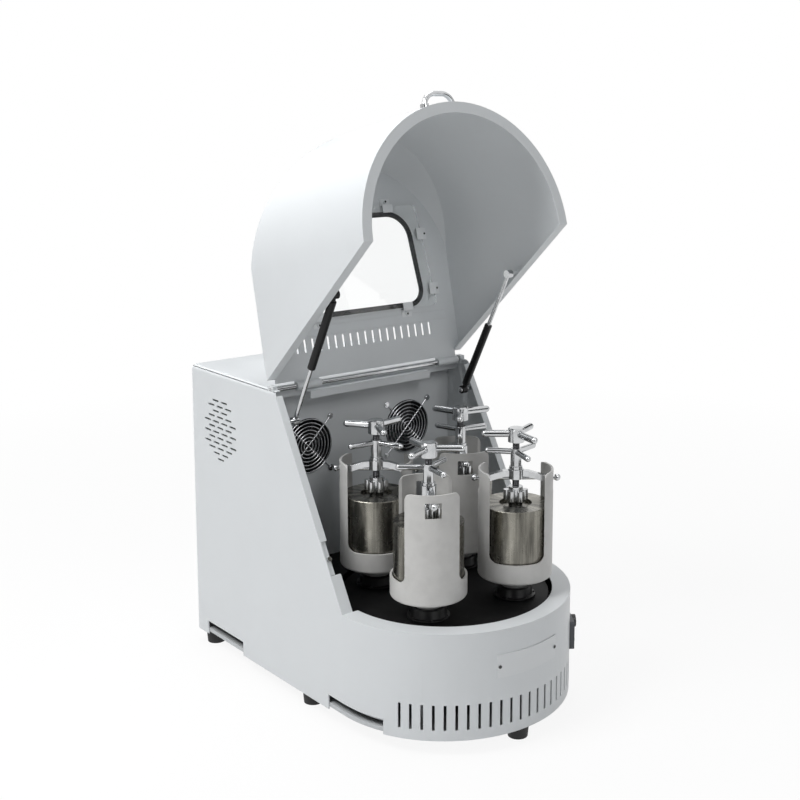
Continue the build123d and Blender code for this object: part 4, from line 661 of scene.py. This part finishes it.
class MILL_OT_bearings(bpy.types.Operator):
    """Fits a flanged bearing cap round each jar spindle"""

    bl_idname = "mill.bearings"
    bl_label = "Bearing caps"

    def execute(self, context):
        top = context.scene.mill_sizes.bearing_top
        bore = HUB_R + 0.0008
        flange_r = 0.0385
        screw_circle_r = 0.0358
        cap = lathe(
            "cap_pattern",
            [
                (bore, TABLE_TOP + 0.0003), (flange_r, TABLE_TOP + 0.0003),
                (flange_r, TABLE_TOP + 0.0042), (0.0330, TABLE_TOP + 0.0052),
                (0.0318, top - 0.0022), (0.0300, top), (HUB_R + 0.0022, top), (bore, top - 0.0014),
            ],
            hollow=True,
            vertices=64,
        )
        apply_modifier(
            cap, "BEVEL", width=0.0004, segments=2, limit_method="ANGLE", angle_limit=radians(20)
        )
        head = lathe(
            "cap_screw",
            [
                (0.0019, TABLE_TOP + 0.0035), (0.0019, TABLE_TOP + 0.0058),
                (0.0016, TABLE_TOP + 0.0062), (0.0010, TABLE_TOP + 0.0062),
                (0.0009, TABLE_TOP + 0.0050),
            ],
            vertices=16,
        )
        screws = []
        for number in range(6):
            turn = Matrix.Rotation(radians(60 * number + 15), 4, "Z")
            at = turn @ Matrix.Translation((screw_circle_r, 0, 0))
            screws.append(placed(head, at, f"screw_{number}"))
        bpy.data.objects.remove(head)
        pattern = joined([cap, *screws], "cap_pattern")
        smooth(pattern, 30)
        black = context.scene.mill_colours.tub
        coating = moulded("bearing_black", black, rough=0.38, grain=0.1, dust=0.05)
        for number in STATIONS:
            x, y = station_axis(number)
            turn = Matrix.Rotation(radians(23 * number), 4, "Z")
            twin = placed(pattern, Matrix.Translation((x, y, 0)) @ turn, f"bearing_cap_{number}")
            dressed(twin, coating, "carrier")
        bpy.data.objects.remove(pattern)
        return {"FINISHED"}


class MILL_OT_skirts(bpy.types.Operator):
    """Bends the two inner skirts that show through the front notches"""

    bl_idname = "mill.skirts"
    bl_label = "Notch skirts"

    def execute(self, context):
        low, high = SKIRT_HEIGHTS
        sheets = []
        for sign in (-1, 1):
            bpy.ops.object.select_all(action="DESELECT")
            bpy.ops.mesh.primitive_plane_add(
                size=1, location=(sign * SKIRT_R, DRUM_Y + SKIRT_STRAIGHT, (low + high) / 2),
                rotation=(radians(90), 0, 0),
            )
            sheet = bpy.context.object
            sheet.scale = (SKIRT_WALL, high - low, 1)
            bpy.context.view_layer.update()
            settle(sheet)
            bpy.ops.object.mode_set(mode="EDIT")
            bpy.ops.mesh.select_all(action="SELECT")
            bpy.ops.mesh.extrude_region_move(TRANSFORM_OT_translate={"value": (0, -SKIRT_STRAIGHT, 0)})
            bpy.ops.mesh.spin(
                steps=14, angle=radians(SKIRT_SWEEP_DEG * sign), center=(0, DRUM_Y, 0), axis=(0, 0, 1)
            )
            closed(merge=0.00001, sides=4)
            apply_modifier(sheet, "BEVEL", width=0.0005, segments=2, limit_method="ANGLE")
            sheets.append(sheet)
        skirts = joined(sheets, "notch_skirts")
        smooth(skirts, 35)
        dressed(skirts, bpy.data.materials["powder_coat"], "housing")
        return {"FINISHED"}


class MILL_OT_hood_trim(bpy.types.Operator):
    """Adds the hem under the hood's window and the sockets in its clip screws"""

    bl_idname = "mill.hood_trim"
    bl_label = "Hood trim"

    def execute(self, context):
        hem = rounded_bar(
            "hood_hem", (0.41, 0.018, 0.0016), 0.0006,
            on_open_hood(Matrix.Translation((0, HEM_Y, PLATE_UNDER - 0.0008))),
        )
        smooth(hem, 40)
        dressed(hem, bpy.data.materials["powder_coat"], "lid")
        socket = lathe(
            "socket_pattern",
            [(0.0022, 0.0), (0.0022, 0.0005), (0.0017, 0.0007), (0.0012, 0.0007), (0.0010, 0.0002)],
            vertices=12,
        )
        flip = Matrix.Rotation(pi, 4, "X")
        dots = []
        for x, y, turn in CLIP_PLACES:
            out = Vector((cos(radians(turn)), sin(radians(turn)), 0)) * CLIP_SCREW_REACH
            place = (x + out.x, DRUM_Y + y + out.y, PLATE_UNDER - CLIP_SCREW_DROP)
            at = Matrix.Translation(place) @ flip
            dots.append(placed(socket, on_open_hood(at), f"dot_{len(dots)}"))
        bpy.data.objects.remove(socket)
        dots = joined(dots, "clip_sockets")
        smooth(dots, 30)
        dark = moulded("socket_dark", context.scene.mill_colours.rubber, rough=0.4, grain=0.05)
        dressed(dots, dark, "lid")
        return {"FINISHED"}


class MILL_OT_casing_trim(bpy.types.Operator):
    """Puts dark sockets in the access plate's screws and screens behind the side vents"""

    bl_idname = "mill.casing_trim"
    bl_label = "Casing trim"

    def execute(self, context):
        dark = bpy.data.materials["socket_dark"]
        socket = lathe(
            "socket_pattern",
            [(0.0029, 0.0), (0.0029, 0.0004), (0.0024, 0.0006), (0.0014, 0.0006), (0.0012, 0.0002)],
            vertices=18,
        )
        dots = []
        for swing in PLATE_SCREWS_DEG:
            at = drum_frame(swing, PLATE_SCREW_FACE_R, PLATE_SCREW_Z)
            dots.append(placed(socket, at, f"dot_{len(dots)}"))
        bpy.data.objects.remove(socket)
        dots = joined(dots, "plate_sockets")
        smooth(dots, 30)
        dressed(dots, dark, "housing")

        screen = lathe(
            "screen_pattern",
            [(0.0700, 0.0), (0.0705, 0.0004), (0.0700, 0.0016), (0.0640, 0.0016), (0.0630, 0.0009)],
            vertices=72,
        )
        screens = []
        for sign in (-1, 1):
            turn = Matrix.Rotation(-sign * pi / 2, 4, "Y")
            place = Matrix.Translation((sign * VENT_FACE_X, VENT_Y, VENT_Z))
            screens.append(placed(screen, place @ turn, f"screen_{len(screens)}"))
        bpy.data.objects.remove(screen)
        screens = joined(screens, "vent_screens")
        smooth(screens, 30)
        black = context.scene.mill_colours.rubber
        weave = moulded("screen_mesh", black, rough=0.7, grain=0.6, fine=900.0)
        dressed(screens, weave, "housing")
        return {"FINISHED"}


class MILL_OT_display(bpy.types.Operator):
    """Frames the dark display on the control panel"""

    bl_idname = "mill.display"
    bl_label = "Display"

    def execute(self, context):
        width, height, lip, proud = 0.044, 0.020, 0.0022, 0.0012
        level = (width + 2 * lip, lip, proud)
        upright = (lip, height + 2 * lip, proud)
        rails = []
        for across, up, size in (
            (0, (height + lip) / 2, level),
            (0, -(height + lip) / 2, level),
            ((width + lip) / 2, 0, upright),
            (-(width + lip) / 2, 0, upright),
        ):
            at = panel_frame(DISPLAY_PLACE[0] + across, DISPLAY_PLACE[1] + up, proud / 2)
            rails.append(rounded_bar("rail", size, 0.0004, at))
        bezel = joined(rails, "display_bezel")
        smooth(bezel, 40)
        dressed(bezel, bpy.data.materials["knob_plastic"], "housing")
        glass = rounded_bar(
            "display_window", (width, height, 0.0006), 0.0002, panel_frame(*DISPLAY_PLACE, 0.0003)
        )
        smooth(glass, 40)
        dark = moulded("display_dark", (0.006, 0.012, 0.010), rough=0.08, grain=0.0)
        dressed(glass, dark, "housing")
        return {"FINISHED"}


class MILL_OT_dial(bpy.types.Operator):
    """Prints the speed marks and figures round the knob"""

    bl_idname = "mill.dial"
    bl_label = "Speed dial"

    def execute(self, context):
        sizes = context.scene.mill_sizes
        ink = moulded("panel_print", context.scene.mill_colours.print_ink, rough=0.5, grain=0.05)
        short, long, proud = 0.0024, 0.0034, 0.00006
        marks = []
        count = sizes.dial_marks

        def on_dial(radius, swing):
            across = KNOB_PLACE[0] + radius * sin(swing)
            return panel_frame(across, KNOB_PLACE[1] + radius * cos(swing), proud)

        for step in range(count):
            swing = radians(-135 + 270 * step / (count - 1))
            reach = short if step % 2 else long
            at = on_dial(sizes.dial_radius + reach / 2, swing) @ Matrix.Rotation(-swing, 4, "Z")
            bpy.ops.object.select_all(action="DESELECT")
            bpy.ops.mesh.primitive_cube_add(size=1)
            mark = bpy.context.object
            mark.matrix_world = at @ Matrix.Diagonal((0.0005, reach, 0.0002, 1))
            marks.append(mark)
            if step % 2 == 0:
                far = sizes.dial_radius + long + sizes.digit_height * 0.75
                bpy.ops.object.select_all(action="DESELECT")
                bpy.ops.object.text_add()
                figure = bpy.context.object
                figure.data.body = str(step)
                figure.data.size = sizes.digit_height
                figure.data.align_x = "CENTER"
                figure.data.align_y = "CENTER"
                figure.data.extrude = 0.00008
                bpy.ops.object.convert(target="MESH")
                figure = bpy.context.object
                figure.matrix_world = on_dial(far, swing)
                marks.append(figure)
        dial = joined(marks, "speed_dial")
        dressed(dial, ink, "housing")
        return {"FINISHED"}


def empty_tree(owner):
    """The owner's node tree, with nothing in it."""
    owner.use_nodes = True
    owner.node_tree.nodes.clear()
    return owner.node_tree


def seen_directly(tree):
    """1 for what the camera sees, straight, in polished metal or through glass."""
    path = new(tree, "LightPath").outputs
    seen = math_node(tree, "MAXIMUM", path["Is Camera Ray"], path["Is Glossy Ray"])
    return math_node(tree, "MAXIMUM", seen, path["Is Transmission Ray"])


def add_camera(scene):
    lens = bpy.data.cameras.new("camera")
    lens.lens = LENS_MM
    lens.sensor_width = 36.0
    lens.shift_x, lens.shift_y = LENS_SHIFT
    lens.clip_end = 50.0
    camera = bpy.data.objects.new("camera", lens)
    camera.rotation_euler = [radians(turn) for turn in CAMERA_TURN_DEG]
    camera.location = CAMERA_AT
    scene.collection.objects.link(camera)
    scene.camera = camera


def add_floor(paint):
    """A floor that takes shadows near the machine and is plain white further off."""
    bpy.ops.object.select_all(action="DESELECT")
    bpy.ops.mesh.primitive_plane_add(size=FLOOR_SIZE, location=(0, 0, 0))
    floor = fresh("floor")
    material = bpy.data.materials.new("pale_floor")
    tree = empty_tree(material)
    seen = seen_directly(tree)
    matt = new(tree, "BsdfDiffuse", Color=rgba(paint))
    white = new(tree, "Emission", Color=(1, 1, 1, 1), Strength=1.0)
    where = new(tree, "TexCoord").outputs["Object"]
    away = new(tree, "VectorMath", {"operation": "LENGTH"}, n0=where).outputs["Value"]
    share = math_node(tree, "MULTIPLY", seen, remap(tree, away, 0.9, 2.6, 0.90, 1.0))
    mixed = new(tree, "MixShader", n0=share, n1=matt.outputs[0], n2=white.outputs[0])
    new(tree, "OutputMaterial", Surface=mixed.outputs[0])
    floor.data.materials.append(material)


def add_cards():
    """Dark cards round the machine, which polished metal reflects as dark bands."""
    material = bpy.data.materials.new("dark_card")
    tree = empty_tree(material)
    shade = new(tree, "Emission", Color=(0.03, 0.032, 0.035, 1), Strength=1.0)
    new(tree, "OutputMaterial", Surface=shade.outputs[0])
    cards = []
    for swing, width, low, high in CARDS:
        a = radians(swing)
        x, y = CARD_DISTANCE * sin(a), DRUM_Y - CARD_DISTANCE * cos(a)
        bpy.ops.object.select_all(action="DESELECT")
        bpy.ops.mesh.primitive_plane_add(
            size=1, location=(x, y, (low + high) / 2), rotation=(radians(90), 0, a)
        )
        card = bpy.context.object
        card.scale = (width, high - low, 1)
        cards.append(card)
    bpy.context.view_layer.update()
    flag = joined(cards, "dark_cards")
    flag.data.materials.append(material)
    for ray in ("camera", "diffuse", "transmission", "volume_scatter", "shadow"):
        setattr(flag, "visible_" + ray, False)


def add_surround(scene):
    """A white surround that lights the machine only faintly."""
    world = bpy.data.worlds.new("surround")
    scene.world = world
    tree = empty_tree(world)
    seen = seen_directly(tree)
    fill = new(tree, "Background", Color=(0.95, 0.97, 1.0, 1), Strength=0.14)
    white = new(tree, "Background", Color=(1, 1, 1, 1), Strength=1.0)
    mixed = new(tree, "MixShader", n0=seen, n1=fill.outputs[0], n2=white.outputs[0])
    new(tree, "OutputWorld", Surface=mixed.outputs[0])


def add_lamps(scene):
    for name, place, aim, size, power in LAMPS:
        lamp = bpy.data.lights.new(name, "AREA")
        lamp.shape = "SQUARE"
        lamp.size = size
        lamp.energy = power
        holder = bpy.data.objects.new(name, lamp)
        holder.location = place
        ahead = Vector(aim) - Vector(place)
        holder.rotation_euler = ahead.to_track_quat("-Z", "Y").to_euler()
        scene.collection.objects.link(holder)


class MILL_OT_studio(bpy.types.Operator):
    """Sets the camera, the lamps, the floor and the white surround"""

    bl_idname = "mill.studio"
    bl_label = "Studio"

    def execute(self, context):
        scene = context.scene
        scene.view_settings.view_transform = "Standard"
        add_camera(scene)
        add_floor(scene.mill_colours.floor)
        add_cards()
        add_surround(scene)
        add_lamps(scene)
        return {"FINISHED"}


class MILL_PT_sidebar(bpy.types.Panel):
    """Lists the mill's steps and settings"""

    bl_label = "Ball Mill"
    bl_idname = "MILL_PT_sidebar"
    bl_space_type = "VIEW_3D"
    bl_region_type = "UI"
    bl_category = "Ball Mill"

    def draw(self, context):
        for step in STEPS:
            self.layout.operator(step)
        for group in (context.scene.mill_sizes, context.scene.mill_colours):
            box = self.layout.box()
            for name in group.__annotations__:
                box.prop(group, name)


CLASSES = (
    MillColours,
    MillSizes,
    MILL_OT_finishes,
    MILL_OT_threads,
    MILL_OT_bearings,
    MILL_OT_skirts,
    MILL_OT_hood_trim,
    MILL_OT_casing_trim,
    MILL_OT_display,
    MILL_OT_dial,
    MILL_OT_studio,
    MILL_PT_sidebar,
)
STEPS = (
    "mill.finishes",
    "mill.threads",
    "mill.bearings",
    "mill.skirts",
    "mill.hood_trim",
    "mill.casing_trim",
    "mill.display",
    "mill.dial",
    "mill.studio",
)


def register():
    for item in CLASSES:
        bpy.utils.register_class(item)
    bpy.types.Scene.mill_colours = PointerProperty(type=MillColours)
    bpy.types.Scene.mill_sizes = PointerProperty(type=MillSizes)


def unregister():
    del bpy.types.Scene.mill_sizes
    del bpy.types.Scene.mill_colours
    for item in reversed(CLASSES):
        bpy.utils.unregister_class(item)


def main():
    """Runs every step."""
    register()
    for step in STEPS:
        group, name = step.split(".")
        getattr(getattr(bpy.ops, group), name)()


if __name__ == "__main__":
    main()
